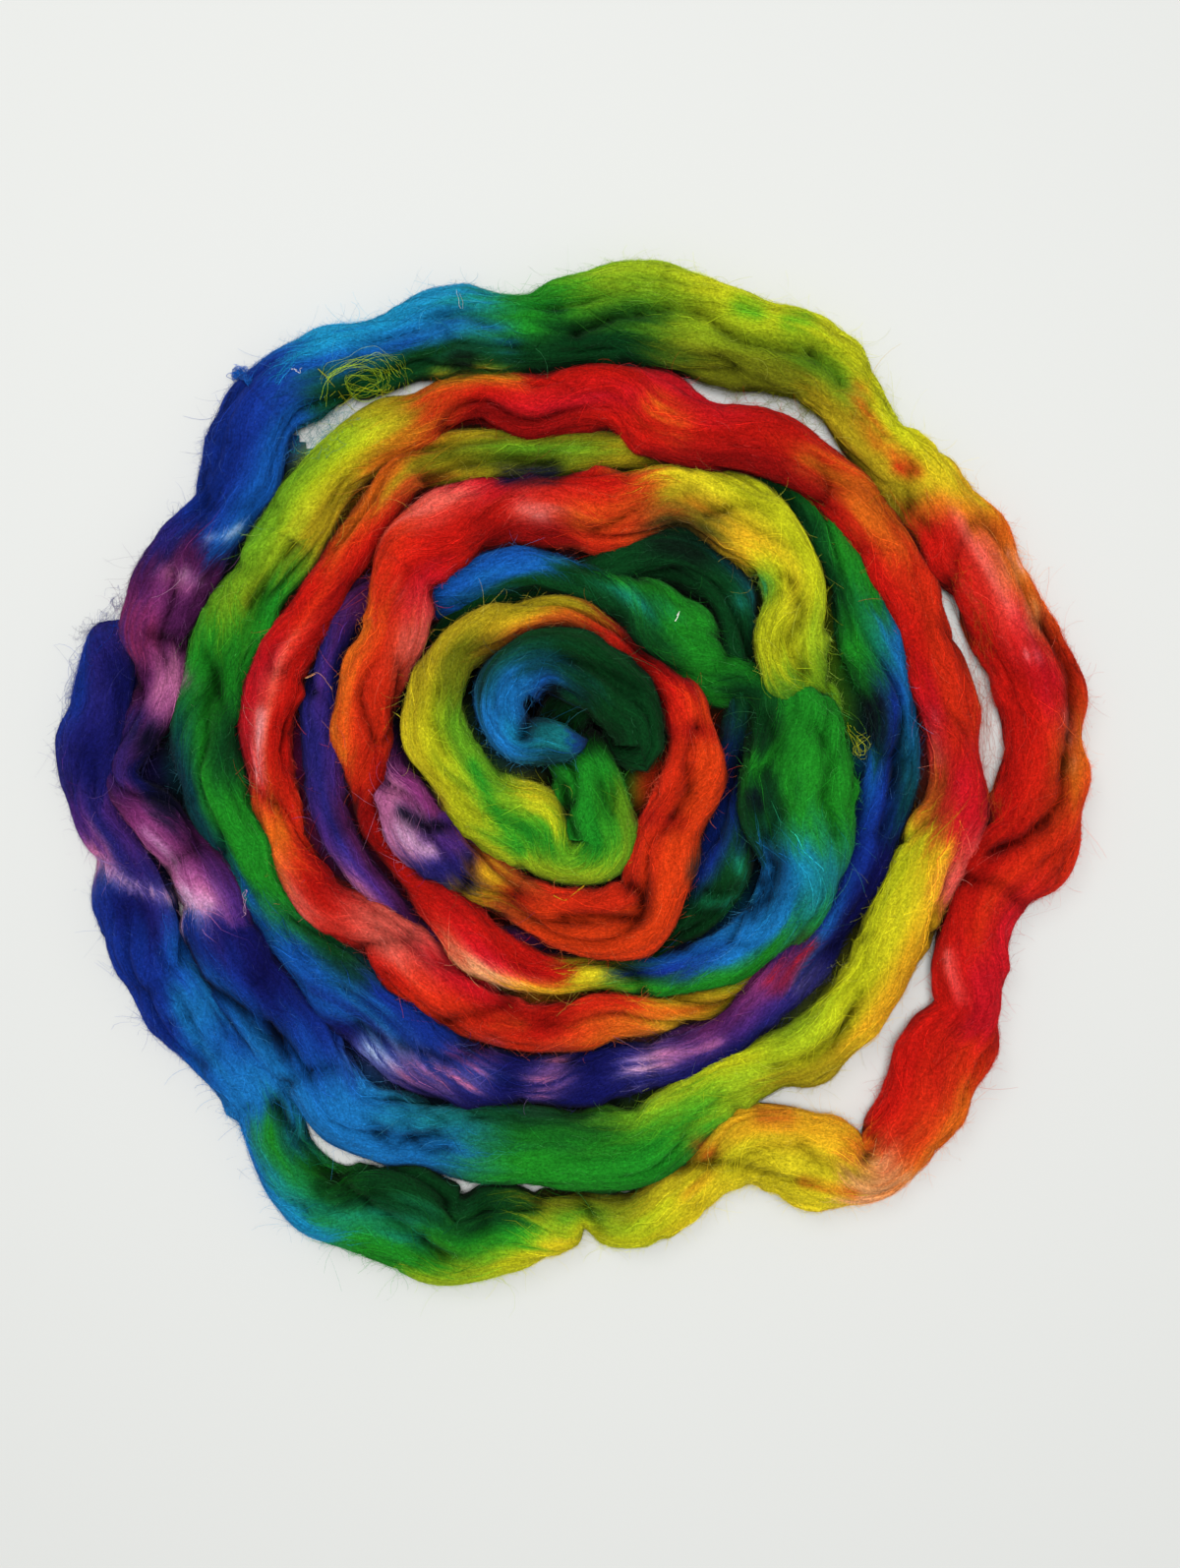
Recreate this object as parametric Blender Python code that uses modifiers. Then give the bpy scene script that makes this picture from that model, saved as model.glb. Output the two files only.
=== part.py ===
"""Wool roving: one hand-dyed length of combed top, laid by hand in a loose flat spiral.

The part is a single strand, 6.3 m long and 12 to 54 mm broad. It starts at the
left rim, runs more than seven times round anticlockwise as seen from above, and ends in a
curled-up ball in the middle. Its turns lie side by side, and some cross over others.
X runs right and Y up as seen from above, +Z is up, and the strand rests on z = 0.
"""

from collections import namedtuple

import bmesh
import bpy
import numpy as np
from mathutils import Vector, noise

MM = 0.001

# The strand's own build, in millimetres.
THIN_END = 6.0  # thickness that a strand of no breadth would have
PLUMPNESS = 0.40  # thickness gained for each millimetre of breadth
BELLY = 0.42  # height of the broadest level, as a share of the thickness
SQUARENESS = 0.88  # below 1 the section is fuller than an ellipse
SETTLE = 2.5  # how far wool on the surface is pressed flat
BLUNT_END = 12.0  # length over which the two ends are rounded off
TIP_SHARE = 0.2  # size of the very tip, as a share of the strand behind it
LUMP_LENGTH = 38.0  # spacing of the small swellings along the strand
LUMP_SHARE = 0.06  # size of those swellings, as a share of the breadth
LUMP_PATTERN = 3.0  # picks one of the endless patterns of swellings
MIDDLE = (-2.8, -0.9)  # x and y of the outline's middle in the tables, which the origin goes to

# The mesh.
RING_STEP = 6.0  # spacing of the sections along the strand, in millimetres
SIDES = 20  # points in each section
VOXEL = 0.0028  # grain at which the turns are fused into one body, in metres
SOFTENING = 3  # rounds of smoothing that take away the grain
PULL = 0.5  # how far a round moves each point towards the middle of its neighbours
KEPT_SHARE = 0.062  # share of the fused faces that the finished solid keeps
SLAB = 0.7  # side of the block that trims the underside, in metres

WOOL_COLOUR = (0.16, 0.20, 0.05, 1.0)
WOOL_ROUGHNESS = 0.9

Station = namedtuple("Station", "x y lift breadth")

# Every table is a stretch of the same strand, one row for each station along it, in
# millimetres: where its middle lies, how high its underside is carried, how broad it is.
OUTER_TURN = [
    Station(-213, 70, 0, 11),
    Station(-217, 57, 0, 25),
    Station(-218, 34, 0, 32),
    Station(-225, -2, 0, 32),
    Station(-222, -18, 0, 26),
    Station(-211, -35, 0, 28),
    Station(-204, -60, 0, 42),
    Station(-194, -91, 0, 35),
    Station(-182, -111, 0, 33),
    Station(-168, -129, 0, 31),
    Station(-145, -155, 0, 30),
    Station(-138, -175, 0, 27),
    Station(-118, -198, 0, 34),
    Station(-91, -205, 0, 46),
    Station(-76, -209, 0, 46),
    Station(-57, -217, 0, 40),
    Station(-34, -213, 0, 44),
    Station(-9, -208, 0, 29),
    Station(4, -204, 0, 18),
    Station(18, -209, 0, 26),
    Station(46, -198, 0, 28),
    Station(62, -186, 0, 28),
    Station(80, -176, 0, 37),
    Station(116, -182, 0, 42),
    Station(136, -185, 0, 32),
    Station(154, -166, 0, 37),
    Station(162, -151, 0, 38),
    Station(173, -130, 0, 42),
    Station(182, -110, 0, 32),
    Station(182, -90, 0, 34),
    Station(188, -66, 0, 36),
    Station(212, -27, 0, 44),
    Station(216, 4, 0, 37),
    Station(214, 42, 0, 41),
    Station(194, 80, 0, 39),
    Station(179, 107, 0, 38),
    Station(158, 135, 0, 35),
    Station(136, 155, 0, 28),
    Station(123, 176, 0, 36),
    Station(107, 189, 0, 42),
    Station(86, 196, 0, 42),
    Station(62, 203, 0, 46),
    Station(22, 212, 0, 47),
    Station(-20, 202, 0, 38),
    Station(-64, 202, 0, 41),
    Station(-89, 193, 0, 34),
    Station(-110, 187, 0, 36),
]
SECOND_TURN = [
    Station(-143, 169, 0, 38),
    Station(-160, 132, 0, 38),
    Station(-167, 115, 0, 34),
    Station(-180, 98, 0, 34),
    Station(-190, 80, 1, 34),
    Station(-196, 62, 1, 31),
    Station(-192, 45, 1, 25),
    Station(-201, 20, 3, 24),
    Station(-210, -2, 5, 17),
    Station(-196, -20, 5, 23),
    Station(-179, -40, 4, 27),
    Station(-167, -61, 3, 30),
    Station(-166, -76, 3, 35),
    Station(-157, -92, 2, 37),
    Station(-128, -129, 1, 36),
    Station(-106, -158, 0, 36),
    Station(-64, -170, 0, 31),
    Station(-18, -174, 0, 37),
    Station(32, -173, 0, 38),
    Station(68, -146, 0, 26),
    Station(108, -130, 0, 30),
    Station(133, -101, 0, 33),
    Station(154, -64, 0, 33),
    Station(165, -45, 0, 36),
    Station(176, -10, 0, 29),
    Station(173, 25, 0, 28),
    Station(163, 58, 0, 27),
    Station(149, 90, 0, 28),
    Station(132, 118, 0, 28),
    Station(105, 141, 1, 31),
    Station(88, 149, 3, 34),
    Station(50, 158, 4, 36),
    Station(35, 166, 2, 38),
    Station(18, 172, 0, 30),
    Station(-20, 167, 0, 33),
    Station(-42, 173, 0, 26),
    Station(-79, 159, 0, 30),
    Station(-110, 140, 0, 26),
]
THIRD_TURN = [
    Station(-134, 107, 0, 33),
    Station(-153, 77, 0, 34),
    Station(-165, 45, 0, 33),
    Station(-172, 8, 0, 33),
    Station(-162, -24, 0, 29),
    Station(-145, -55, 0, 24),
    Station(-124, -86, 0, 28),
    Station(-94, -113, 0, 36),
    Station(-64, -136, 0, 36),
    Station(-22, -144, 0, 24),
    Station(22, -139, 0, 26),
    Station(62, -127, 0, 22),
    Station(90, -104, 1, 25),
    Station(112, -76, 1, 26),
    Station(131, -44, 0, 28),
    Station(145, -9, 0, 28),
    Station(147, 25, 0, 22),
    Station(136, 58, 0, 28),
    Station(124, 90, 0, 22),
    Station(104, 120, 0, 20),
    Station(82, 134, 0, 20),
    Station(58, 144, 0, 20),
    Station(34, 147, 0, 20),
    Station(-15, 146, 0, 22),
    Station(-58, 145, 0, 26),
]
FOURTH_TURN = [
    Station(-76, 139, 0, 22),
    Station(-99, 107, 0, 20),
    Station(-118, 77, 1, 23),
    Station(-138, 44, 3, 25),
    Station(-143, 10, 2, 25),
    Station(-136, -25, 0, 20),
    Station(-121, -57, 0, 26),
    Station(-92, -76, 1, 28),
    Station(-58, -104, 2, 28),
    Station(-20, -119, 2, 26),
    Station(20, -113, 1, 22),
    Station(40, -112, 0, 16),
    Station(74, -103, 0, 12),
    Station(90, -88, 0, 12),
    Station(104, -68, 0, 12),
    Station(115, -46, 0, 14),
    Station(120, -12, 0, 14),
    Station(114, 22, 2, 22),
    Station(98, 57, 7, 35),
    Station(99, 90, 3, 31),
    Station(79, 114, 5, 38),
    Station(46, 127, 3, 30),
    Station(10, 119, 1, 38),
    Station(-14, 118, 0, 30),
    Station(-38, 119, 0, 35),
    Station(-60, 110, 2, 37),
]
FIFTH_TURN = [
    Station(-78, 93, 5, 32),
    Station(-84, 62, 7, 30),
    Station(-98, 30, 3, 29),
    Station(-98, 12, 2, 28),
    Station(-96, -2, 1, 20),
    Station(-96, -17, 0, 12),
    Station(-91, -32, 0, 12),
    Station(-66, -56, 4, 22),
    Station(-43, -82, 7, 26),
    Station(-12, -96, 3, 20),
    Station(5, -95, 1, 18),
    Station(42, -94, 0, 18),
    Station(81, -82, 2, 26),
    Station(104, -50, 6, 40),
    Station(102, -14, 9, 52),
    Station(102, 6, 8, 54),
    Station(96, 22, 5, 46),
    Station(84, 36, 0, 28),
    Station(62, 47, 2, 30),
    Station(43, 62, 5, 36),
    Station(24, 79, 5, 24),
    Station(4, 86, 7, 18),
    Station(-18, 93, 5, 20),
    Station(-58, 82, 0, 22),
    Station(-76, 80, 0, 20),
]
SIXTH_TURN = [
    Station(-94, 80, 0, 18),
    Station(-116, 45, 0, 18),
    Station(-118, 8, 0, 20),
    Station(-111, -28, 0, 20),
    Station(-93, -54, 0, 16),
    Station(-68, -77, 0, 12),
    Station(-25, -80, 0, 14),
    Station(42, -74, 0, 20),
    Station(65, -52, 1, 28),
    Station(75, -8, 1, 20),
    Station(76, 40, 0, 16),
    Station(66, 88, 0, 26),
    Station(46, 99, 0, 26),
    Station(-10, 80, 0, 20),
    Station(-45, 72, 0, 20),
    Station(-68, 50, 0, 20),
    Station(-80, 22, 0, 12),
    Station(-84, 4, 0, 12),
    Station(-80, -13, 6, 26),
    Station(-73, -29, 6, 34),
    Station(-56, -40, 7, 26),
    Station(-41, -50, 6, 24),
]
INNER_TURN = [
    Station(-28, -58, 7, 22),
    Station(-8, -68, 8, 28),
    Station(32, -64, 8, 31),
    Station(42, -33, 6, 34),
    Station(55, 8, 5, 27),
    Station(49, 29, 8, 21),
    Station(38, 42, 9, 15),
    Station(25, 53, 10, 15),
    Station(-6, 72, 12, 17),
    Station(-24, 69, 12, 17),
    Station(-56, 51, 12, 22),
    Station(-65, 20, 8, 30),
    Station(-47, -11, 4, 32),
    Station(-19, -30, 4, 40),
    Station(-2, -42, 5, 24),
    Station(11, -37, 7, 30),
    Station(10, -20, 7, 34),
    Station(4, -2, 4, 32),
    Station(-6, 20, 3, 26),
    Station(6, 33, 8, 24),
    Station(20, 24, 10, 22),
    Station(26, 10, 6, 22),
]
CURLED_END = [
    Station(30, 8, 6, 22),
    Station(30, 17, 8, 24),
    Station(22, 33, 9, 32),
    Station(4, 46, 10, 32),
    Station(-16, 49, 11, 27),
    Station(-31, 40, 12, 26),
    Station(-33, 26, 12, 24),
    Station(-27, 15, 13, 22),
    Station(-13, 13, 14, 24),
    Station(-2, 13, 15, 20),
    Station(6, 14, 13, 12),
]

Stretch = namedtuple("Stretch", "name stations extra_thickness")
STRETCHES = [
    Stretch("outer", OUTER_TURN, 0.0),
    Stretch("second", SECOND_TURN, 0.0),
    Stretch("third", THIRD_TURN, 0.0),
    Stretch("fourth", FOURTH_TURN, 0.0),
    Stretch("fifth", FIFTH_TURN, 0.0),
    Stretch("sixth", SIXTH_TURN, 0.0),
    Stretch("inner", INNER_TURN, 2.0),
    Stretch("curl", CURLED_END, 10.0),
]

# Lengthwise furrows pressed into the top of a stretch, in millimetres: how deep and how
# wide each is, and the line that it follows.
Fold = namedtuple("Fold", "stretch depth half_width line")
FOLDS = [
    Fold("outer", 5.0, 4.0, [(215, 75), (226, 45), (228, 15), (221, -10), (190, -45), (180, -58)]),
    Fold("outer", 6.0, 4.0, [(5, 205), (50, 211), (60, 203), (75, 195), (110, 190), (120, 182)]),
    Fold("outer", 4.0, 4.0, [(50, -183), (70, -181), (95, -187), (110, -190)]),
    Fold("second", 5.0, 4.0, [(-190, -30), (-165, -75), (-150, -90), (-134, -108)]),
    Fold("second", 5.0, 4.0, [(130, -110), (125, -125), (110, -133)]),
    Fold("third", 5.0, 4.0, [(-120, 112), (-140, 92), (-152, 70), (-158, 45), (-162, 15)]),
    Fold("fifth", 5.0, 4.0, [(92, -24), (86, -36), (90, -48), (84, -60)]),
    Fold("inner", 5.0, 3.5, [(-20, -65), (25, -68), (31, -62), (29, -50)]),
    Fold("inner", 5.0, 3.5, [(-5, -5), (-3, -18), (0, -30)]),
    Fold("curl", 6.0, 3.5, [(-20, 34), (-24, 24), (-22, 14)]),
]


def follow(stations, extra):
    """Smooth samples along the strand, RING_STEP apart: x, y, lift, breadth, extra thickness, row."""
    rows = np.array([[*station, more] for station, more in zip(stations, extra)], float)
    chords = np.linalg.norm(np.diff(rows[:, :2], axis=0), axis=1)
    knots = np.concatenate([[0.0], np.cumsum(chords)])
    slopes = np.gradient(rows, knots, axis=0)
    samples = []
    for i, chord in enumerate(chords):
        for t in np.arange(0.0, 1.0, RING_STEP / chord):
            near = (2 * t**3 - 3 * t**2 + 1) * rows[i] + (t**3 - 2 * t**2 + t) * chord * slopes[i]
            far = (3 * t**2 - 2 * t**3) * rows[i + 1] + (t**3 - t**2) * chord * slopes[i + 1]
            samples.append([*(near + far), i])
    samples.append([*rows[-1], len(rows) - 1])
    return np.array(samples)


def distance_to_line(points, line):
    """Shortest distance from each of points to a line of straight runs, seen from above."""
    nearest = np.full(len(points), np.inf)
    for start, end in zip(np.array(line[:-1], float), np.array(line[1:], float)):
        run = end - start
        along = np.clip((points - start) @ run / (run @ run), 0.0, 1.0)
        nearest = np.minimum(nearest, np.linalg.norm(points - start - along[:, None] * run, axis=1))
    return nearest


def strand_rings():
    """The sections of the whole strand, in millimetres, as an array of rings of points."""
    stations = [station for stretch in STRETCHES for station in stretch.stations]
    extra = [stretch.extra_thickness for stretch in STRETCHES for _ in stretch.stations]
    names = [stretch.name for stretch in STRETCHES for _ in stretch.stations]
    samples = follow(stations, extra)
    middle = samples[:, :2]
    travelled = np.concatenate([[0.0], np.cumsum(np.linalg.norm(np.diff(middle, axis=0), axis=1))])
    heading = np.gradient(middle, travelled, axis=0)
    heading /= np.linalg.norm(heading, axis=1)[:, None]
    angles = np.linspace(0.0, 2 * np.pi, SIDES, endpoint=False)
    rings = []
    for (x, y, lift, breadth, more, row), forward, gone in zip(samples, heading, travelled):
        swell = 1 + LUMP_SHARE * noise.noise(Vector((gone / LUMP_LENGTH, 0.0, LUMP_PATTERN)))
        from_end = min(gone, travelled[-1] - gone, BLUNT_END) / BLUNT_END
        rounding = max(np.sqrt(1 - (1 - from_end) ** 2), TIP_SHARE)
        half = breadth / 2 * swell * rounding
        thickness = (THIN_END + PLUMPNESS * breadth + more) * swell * rounding
        across = half * np.sign(np.cos(angles)) * np.abs(np.cos(angles)) ** SQUARENESS
        rise = np.sign(np.sin(angles)) * np.abs(np.sin(angles)) ** SQUARENESS
        reach = np.where(rise > 0, (1 - BELLY) * thickness, BELLY * thickness + SETTLE)
        ring = np.empty((SIDES, 3))
        ring[:, 0] = x - forward[1] * across
        ring[:, 1] = y + forward[0] * across
        ring[:, 2] = max(lift, 0.0) + BELLY * thickness + rise * reach
        for fold in FOLDS:
            if fold.stretch == names[int(row)]:
                away = distance_to_line(ring[:, :2], fold.line)
                ring[:, 2] -= fold.depth * np.exp(-((away / fold.half_width) ** 2)) * (rise > 0)
        rings.append(ring)
    return np.array(rings)


def strand_mesh(name):
    """A closed tube lofted through the sections, whose turns may still run through each other."""
    rings = (strand_rings() - (*MIDDLE, 0.0)) * MM
    mesh = bmesh.new()
    loops = [[mesh.verts.new(point) for point in ring] for ring in rings]
    for one, other in zip(loops, loops[1:]):
        for i in range(SIDES):
            j = (i + 1) % SIDES
            mesh.faces.new((one[i], one[j], other[j], other[i]))
    mesh.faces.new(loops[0])
    mesh.faces.new(loops[-1][::-1])
    bmesh.ops.recalc_face_normals(mesh, faces=mesh.faces)
    data = bpy.data.meshes.new(name)
    mesh.to_mesh(data)
    mesh.free()
    return data


def wool_material():
    """Matt dyed wool in the middle tone of its many colours."""
    material = bpy.data.materials.new("dyed_wool")
    material.use_nodes = True
    shader = material.node_tree.nodes["Principled BSDF"]
    shader.inputs["Base Color"].default_value = WOOL_COLOUR
    shader.inputs["Roughness"].default_value = WOOL_ROUGHNESS
    shader.inputs["Metallic"].default_value = 0.0
    return material


def surface_block(collection):
    """The block below z = 0 that trims the strand's underside flat."""
    bpy.ops.mesh.primitive_cube_add(size=SLAB, location=(0.0, 0.0, -SLAB / 2))
    block = bpy.context.object
    block.name = "surface_block"
    block.hide_render = True
    block.display_type = "WIRE"
    for owner in list(block.users_collection):
        owner.objects.unlink(block)
    collection.objects.link(block)
    return block


def build():
    """Model the roving and its trimmed underside."""
    for thing in list(bpy.data.objects):
        bpy.data.objects.remove(thing, do_unlink=True)
    parts = bpy.data.collections.new("wool_roving")
    cutters = bpy.data.collections.new("cutters")
    bpy.context.scene.collection.children.link(parts)
    bpy.context.scene.collection.children.link(cutters)
    roving = bpy.data.objects.new("roving", strand_mesh("roving"))
    parts.objects.link(roving)
    roving.data.materials.append(wool_material())
    fuse = roving.modifiers.new("fuse_turns", "REMESH")
    fuse.mode = "VOXEL"
    fuse.voxel_size = VOXEL
    soften = roving.modifiers.new("soften_grain", "SMOOTH")
    soften.factor = PULL
    soften.iterations = SOFTENING
    thin_out = roving.modifiers.new("thin_out", "DECIMATE")
    thin_out.ratio = KEPT_SHARE
    trim = roving.modifiers.new("trim_underside", "BOOLEAN")
    trim.operation = "DIFFERENCE"
    trim.object = surface_block(cutters)


build()
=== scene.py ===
"""Looks of the wool roving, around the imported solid.

One strand of hand-dyed combed top follows the same stations as the solid. Its skin carries
lengthwise locks and creases, thousands of fine fibres lie along it, and loose hairs stand off it.
Lengths are in millimetres up to the point where a mesh is made. Distances along the strand start
at its outer end. Angles run round its section: 0 is the inner side, a quarter turn is the top.
"""

from collections import namedtuple

import bpy
import numpy as np
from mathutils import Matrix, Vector, noise


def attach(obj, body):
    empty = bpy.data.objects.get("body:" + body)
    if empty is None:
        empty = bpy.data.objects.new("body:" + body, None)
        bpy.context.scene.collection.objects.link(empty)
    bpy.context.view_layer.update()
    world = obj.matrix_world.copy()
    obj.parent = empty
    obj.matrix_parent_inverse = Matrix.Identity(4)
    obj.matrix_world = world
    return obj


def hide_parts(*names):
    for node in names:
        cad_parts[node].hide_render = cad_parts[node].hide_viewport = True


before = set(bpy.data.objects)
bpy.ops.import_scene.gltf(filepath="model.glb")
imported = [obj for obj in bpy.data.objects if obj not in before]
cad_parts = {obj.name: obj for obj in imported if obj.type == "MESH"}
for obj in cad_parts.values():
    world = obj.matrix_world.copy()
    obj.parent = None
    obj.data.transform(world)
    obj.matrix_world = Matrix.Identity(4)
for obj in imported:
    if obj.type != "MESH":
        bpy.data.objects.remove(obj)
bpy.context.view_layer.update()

MM = 0.001
RANDOM_SEED = 20
NO_LENGTH = 1e-9  # keeps a vector of no length from dividing by zero

# The strand's build, the same as in the solid.
THIN_END = 6.0  # thickness that a strand of no breadth would have
PLUMPNESS = 0.40  # thickness gained for each millimetre of breadth
BELLY = 0.42  # height of the broadest level, as a share of the thickness
SQUARENESS = 0.88  # below 1 the section is fuller than an ellipse
SETTLE = 2.5  # how far wool on the surface is pressed flat
BLUNT_END = 12.0  # length over which the two ends are rounded off
TIP_SHARE = 0.2  # size of the very tip, as a share of the strand behind it
LUMP_LENGTH = 38.0  # spacing of the small swellings along the strand
LUMP_SHARE = 0.06  # size of those swellings, as a share of the breadth
LUMP_PATTERN = 3.0  # picks one of the endless patterns of swellings
MIDDLE = (-2.8, -0.9)  # x and y of the outline's middle in the tables, which the origin goes to

# The dressed skin.
PATH_STEP = 1.5  # spacing of the samples that the whole route is read from
RING_STEP = 2.4  # spacing of the skin's sections
TOP_SIDES = 52  # points of a section that face up or sideways
LOW_SIDES = 8  # points of a section that face down
TOP_ANGLES = (-0.12, 1.12)  # where round the strand those upper points lie, in half turns
PUFF = 0.3  # height that loose wool adds all over
FOLD_REACH = 5  # how far from its line a fold still shows, in half widths
FLOOR_GAP = 0.3  # lowest that the skin lies above the surface
EDGE_LANES = (12.0, 6.0)  # lanes in which the inner and the outer edge find their waves

# Noise over the strand: the seed of its random numbers, how much it does at most, and its
# grain along the strand and across it, in millimetres.
Pattern = namedtuple("Pattern", "seed most along across")
EDGE_WAVES = Pattern(1, 0.08, 15, 1)  # as a share of the breadth
WANDER = Pattern(2, 7.0, 55, 40)  # how far sideways the locks stray
FINE_WANDER = Pattern(3, 1.6, 17, 15)
LOCKS = Pattern(4, 2.4, 19, 12)
STRANDS = Pattern(7, 0.5, 26, 2.6)
KINKS = Pattern(8, 1.2, 7, 9)  # cross waves, which show in patches
KINK_PATCHES = Pattern(9, 1.2, 40, 16)
KINKS_SHOWN = 0.2  # share of the kinks that shows where their patches are even
FOLD_WOBBLE = Pattern(21, 0.8, 5, 5)
DYE_RUN = Pattern(11, 8.0, 30, 7)  # how far dye has crept along the fibres
FINE_DYE_RUN = Pattern(12, 5.0, 14, 1.8)
DYE_SPREAD = Pattern(13, 0.22, 35, 5)  # and across them, as a share of half the breadth
FINE_DYE_SPREAD = Pattern(16, 0.12, 20, 1.5)
OVERLAY_GRIP = Pattern(17, 0.6, 22, 1.6)  # how unevenly an overlay patch shows
TONE = Pattern(14, 0.18, 25, 6)
FINE_TONE = Pattern(15, 0.12, 14, 1.1)
BED_LUMPS = Pattern(31, 1.2, 6, 6)

# Sharp creases between the locks: their depth, the pattern whose middle line each follows and
# how far it strays from that line, and how much of them shows at first and by a second pattern.
Crease = namedtuple("Crease", "depth course stray shown patches")
CREASES = [
    Crease(5.0, Pattern(5, 1, 48, 13), 0.10, 0.5, Pattern(6, 1.1, 40, 18)),
    Crease(2.6, Pattern(10, 1, 26, 7), 0.10, 0.25, Pattern(18, 1, 30, 12)),
    Crease(0.8, Pattern(20, 1, 22, 4), 0.12, 1.0, None),
]

# Dye, and light and shade painted into it.
INK_FLOOR = 0.0015  # least colour that any wool has, so that its logarithm exists
EDGE_DYE = 0.62  # where a station's edge dyes are reached, as a share of half the breadth
OVERLAY_REACH = 2  # how far from its line an overlay patch still shows, in half widths
OVERLAY_HOLD = 0.75  # how strongly overlay patches show on average
JUST_INSIDE = 0.001  # keeps a place in a table short of its last row
CREASE_SHADE = 0.17  # painted shade: how quickly the colour darkens, as light is lost, with each millimetre down a crease,
FOLD_SHADE = 0.15  # down a fold
HOLLOW_SHADE = 0.16  # and down between the turns
OPEN_SHADE = 0.1  # share of that last loss that stays where no turns stand around
RIM_PAINTED_GLOW = 0.35  # painted glow: lightens the colour of a free rim for the light that shines through its thin wool, as a share of the rest
RIM_SHARPNESS = 8  # how closely that painted glow keeps to the rim

# The maps of the wool's height, seen from above.
HOLLOW_CELL = 1.5  # grain of the maps
HOLLOW_REACH = 270.0  # how far they go out from the middle
HOLLOW_BLURS = (4.0, 9.0)  # over how much the heights are smoothed, finely and coarsely
HOLLOW_SLACK = 1.0  # how far wool may lie below the smoothed heights without losing light
SURVEY = (1.2, 60)  # spacing along the strand and points across it that heights are taken at
DYE_SURVEY = (3.0, 24)  # and that dyes are
DYE_BLUR = 5.0  # over how much those dyes are smoothed
NO_WOOL = 1e-6  # keeps a place without wool from dividing by zero
COVER_BLUR = 8.0  # width of the surroundings that are looked at
COVER_HEIGHT = 1.0  # height from which a place counts as covered with wool
FREE_COVER = 0.55  # covered share of the surroundings that a free rim has
COVER_RANGE = 0.35  # and how much more wool among close turns has
CLEAR_OF_TIP = 1.0  # how far fibres and surveys stay away from the strand's two tips

# The bake maps' coordinates, from 0 to 1.
MAP_EDGE = 0.002
MAP_STRIP = 0.004  # width that a fibre gets
MAP_DROP = 0.3  # lowest angle that has a place in the maps, in half turns below the sides
MAP_TOP = 0.995  # highest place, so that a fibre's width still fits in
WISP_MAP_EDGE = 0.01

# The laid fibres. Pairs are the least and the most, where nothing else is said.
FIBRES_PER_MM = 4.2  # fibres that start on each millimetre of strand
FIBRE_STEPS = 7  # points along a fibre
FIBRE_LOWEST = 0.05  # lowest that the edge of any fibre lies
SHORTEST_FIBRE = 7.0
FIBRE_SPREAD = (2.0, 8.0)  # shape and scale of the lengths above that
FIBRE_MOST_MORE = 38.0  # and the most that is added
FIBRE_LEAD = 20.0  # how far before its stretch the first fibre starts
FIBRE_ANGLES = (-0.14, 1.14)  # where round the strand they lie, in half turns
FIBRE_ROUND = 0.55  # height that counts towards the way round the top, as a share
FIBRE_SLANTS = [0.12, 0.45]  # half of the fibres slant little, the others more
FIBRE_CRIMP = (0.2, 1.0)  # how far a fibre waves to its sides
FIBRE_WAVE = (1.6, 3.2)  # length of those waves for each radian
FIBRE_HEIGHTS = (1.6, 0.20)  # shape and scale of the heights above the skin
FIBRE_CLEARANCE = 0.1  # added to those heights
FIBRE_SINK = 0.6  # how far the two ends sink below that
FIBRE_SINK_RATE = 5  # each end sinks over a fifth of the length
FIBRE_ROLL = 0.35  # how far a fibre may be turned out of the skin, in radians
FIBRE_WIDTHS = (0.14, 0.30)
FIBRE_TIP = 0.3  # width of the ends, as a share of the middle's
FIBRE_DYE_SHIFT = (5.0, 1.2)  # how far along and across fibres have carried their dye
FIBRE_TONE = (0.02, 0.22)  # mean and spread of how much lighter fibres are
FIBRE_MAP_MARGINS = (40, 70)  # room that the map keeps before and after the stretch

# The loose hairs: how many there are on a millimetre, how many points each has, how their
# lengths spread, and the share of them that stands at the strand's edges.
Hairs = namedtuple("Hairs", "kind a_millimetre steps shape scale shortest longest edge_share")
HAIRS = [
    Hairs("long", 2.2, 6, 3.0, 3.2, 4, 26, 0.6),
    Hairs("short", 20.0, 3, 2.5, 1.0, 1, 6, 0.85),
]
HAIRS_LOST = 0.85  # share of the rim's hairs that are pressed down between close turns
HAIR_ROOT = -0.2  # height of the roots above the skin
HAIR_LEVELS = (-0.1, 1.1)  # angles at which hairs that aren't at the edges stand, in half turns
HAIR_EDGE_SPREAD = 0.09  # how far round from the very edge the others stand, in half turns
HAIR_LEAN = (0.15, 0.9)  # how steeply a hair leaves the skin, in radians
HAIR_TURN = 0.5  # how far it turns away from the strand's own way, in radians
HAIR_CURL = (0.1, 0.55)  # how much it bends from point to point
HAIR_TWIST = 1.5  # how closely the axis of its curl keeps to the way out of the skin
HAIR_WEIGHT = 0.05  # how much it sinks from point to point
HAIR_TURN_UP = (0.6, 0.3)  # height below which a hair turns up again, and how steeply
HAIR_HEIGHTS = (0.2, 48.0)  # lowest and highest that any loose hair goes
HAIR_WIDTHS = (0.07, 0.14)
HAIR_TIP = 0.5  # width of the tip, as a share of the root's
HAIR_PAINTED_HIGHLIGHT = [0.6, 0.95]  # painted highlight: powers that lighten the dye of the hairs
HAIR_MAP = (0.97, 0.02)  # shares of the map for the roots and for a hair's length

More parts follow.
